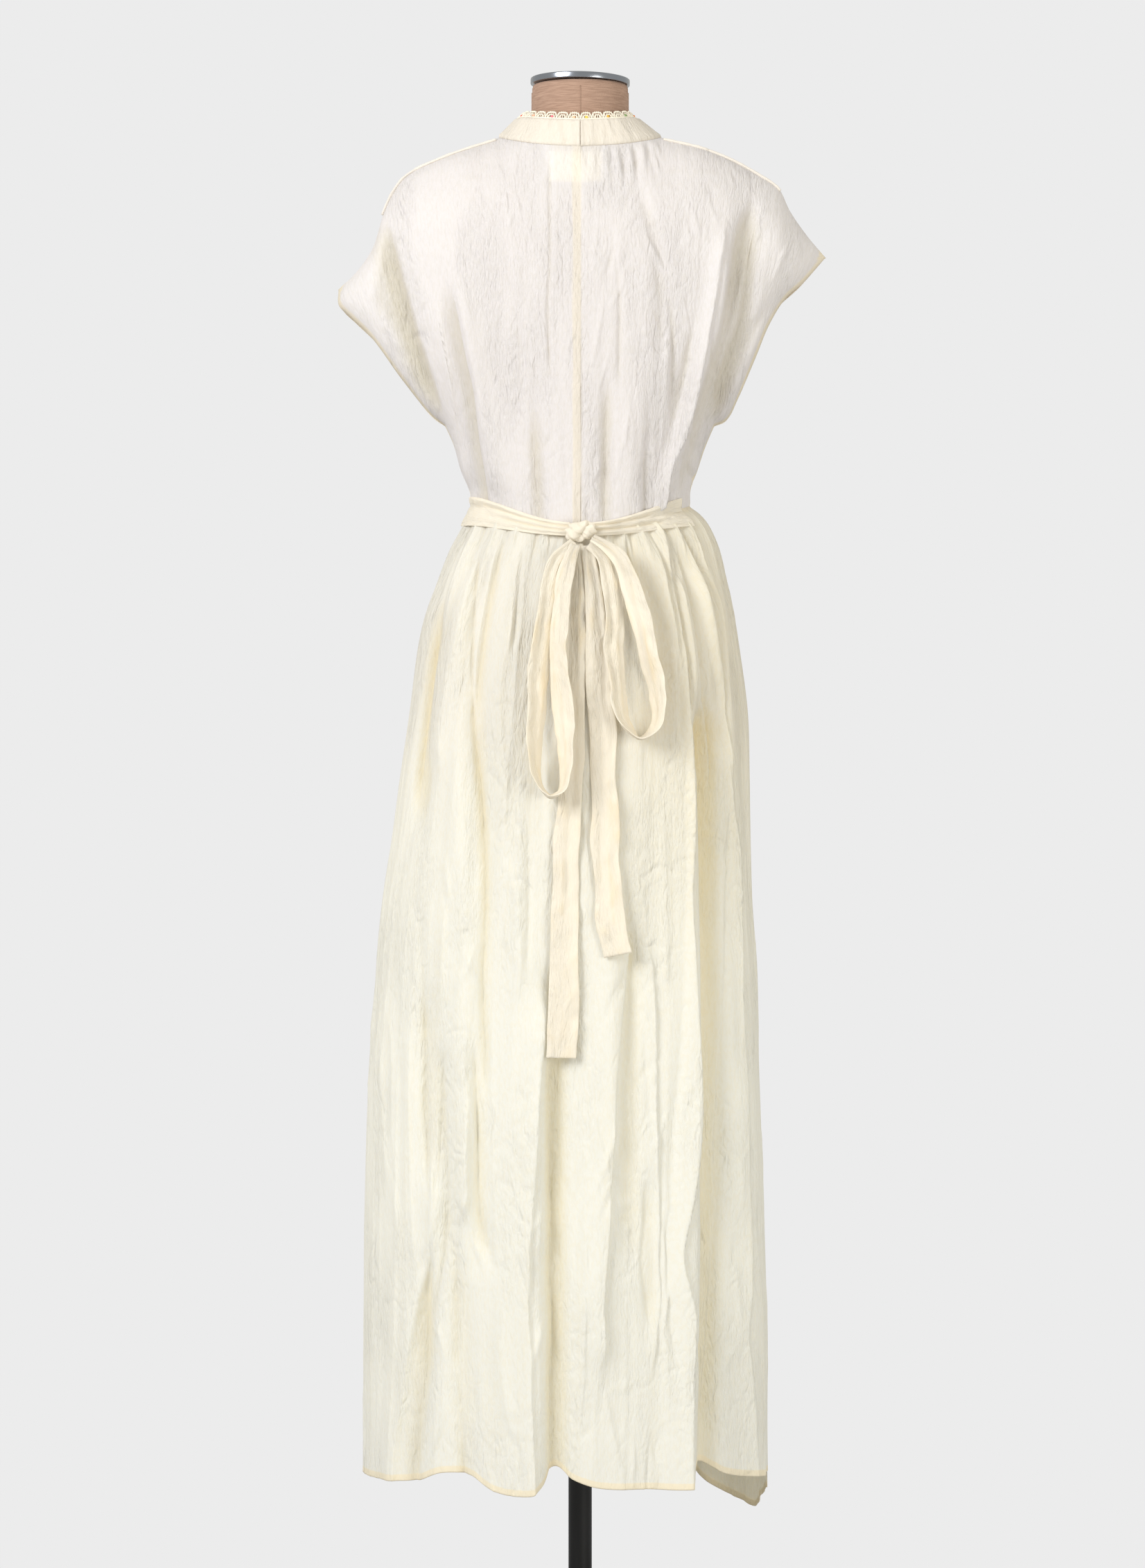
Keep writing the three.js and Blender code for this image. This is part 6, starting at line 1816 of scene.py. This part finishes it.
def studio():
    """A plain pale studio, with a large soft light from the left of the back."""
    scene = bpy.context.scene
    scene.view_settings.view_transform = "Standard"
    world = bpy.data.worlds.new("studio")
    scene.world = world
    world.use_nodes = True
    tree = world.node_tree
    tree.nodes.clear()
    seen = tree.nodes.new("ShaderNodeLightPath").outputs["Is Camera Ray"]
    shown, lit = (tree.nodes.new("ShaderNodeBackground") for _ in range(2))
    shown.inputs["Color"].default_value = colour_of(*COLOURS["studio"])
    lit.inputs["Color"].default_value = LIGHT["tint"]
    lit.inputs["Strength"].default_value = LIGHT["dome"]
    mix = tree.nodes.new("ShaderNodeMixShader")
    out = tree.nodes.new("ShaderNodeOutputWorld")
    tree.links.new(seen, mix.inputs[0])
    tree.links.new(lit.outputs[0], mix.inputs[1])
    tree.links.new(shown.outputs[0], mix.inputs[2])
    tree.links.new(mix.outputs[0], out.inputs[0])
    for name, lamp in LIGHT["lamps"].items():
        add_lamp(name, *lamp)
    floor_disc()


def add_lamp(name, place, aim, size, power, colour):
    data = bpy.data.lights.new(name, "AREA")
    data.shape, data.size, data.energy, data.color = "DISK", size, power, colour
    lamp = bpy.data.objects.new(name, data)
    bpy.context.scene.collection.objects.link(lamp)
    lamp.location = place
    way = Vector(aim) - Vector(place)
    lamp.rotation_euler = way.to_track_quat("-Z", "Y").to_euler()


def floor_disc():
    """A white floor that takes a soft shadow near the base and fades into the background."""
    disc = [(CORE, -4), (2600, -4), (2600, 0), (CORE, 0)]
    thing = mesh_object("floor", *lathe_parts(disc, 96), False)
    shader = Shader("floor")
    place = shader.node("ShaderNodeTexCoord").outputs["Object"]
    away = shader.node("ShaderNodeVectorMath", {"operation": "LENGTH"}, i0=place).outputs["Value"]
    share = shader.range(away, 0.19, 0.33, 0.35, 0.0)
    seen = shader.node("ShaderNodeLightPath").outputs["Is Camera Ray"]
    glow = shader.range(seen, 0.0, 1.0, 0.55, 1.0)
    white = colour_of(*COLOURS["studio"])
    plain = shader.node("ShaderNodeEmission", Color=white, Strength=glow)
    matt = shader.node("ShaderNodeBsdfDiffuse", Color=white)
    mixed = shader.node("ShaderNodeMixShader", i0=share, i1=plain.outputs[0], i2=matt.outputs[0])
    thing.data.materials.append(shader.finish(mixed.outputs[0]))


def camera():
    data = bpy.data.cameras.new("camera")
    data.lens, data.sensor_width, data.clip_end = CAMERA["lens"], CAMERA["sensor"], CAMERA["far"]
    thing = bpy.data.objects.new("camera", data)
    thing.location = CAMERA["place"]
    thing.rotation_euler = (math.pi / 2, 0, 0)
    bpy.context.scene.collection.objects.link(thing)
    bpy.context.scene.camera = thing


def build():
    form_body()
    torso_seams()
    form_stand()
    skirts = {face: skirt_panel(face, *size) for face, size in SKIRT_GRIDS.items()}
    back_left, back_right, front = bodice_pieces()
    bands = [neckband(side) for side in (LEFT, RIGHT)]
    for side in (LEFT, RIGHT):
        neck_trim(side)
        shoulder_seam(side)
    neck_label()
    sashes = {
        "left": sash_stretch("left", SASH_ENDS["left"], -SASH_ENDS["knot"], False),
        "right": sash_stretch("right", SASH_ENDS["knot"], SASH_ENDS["right"], True),
    }
    ribbons = {name: hanging_ribbon(name) for name in RIBBONS}
    knot = sash_knot()


build()
studio()
camera()
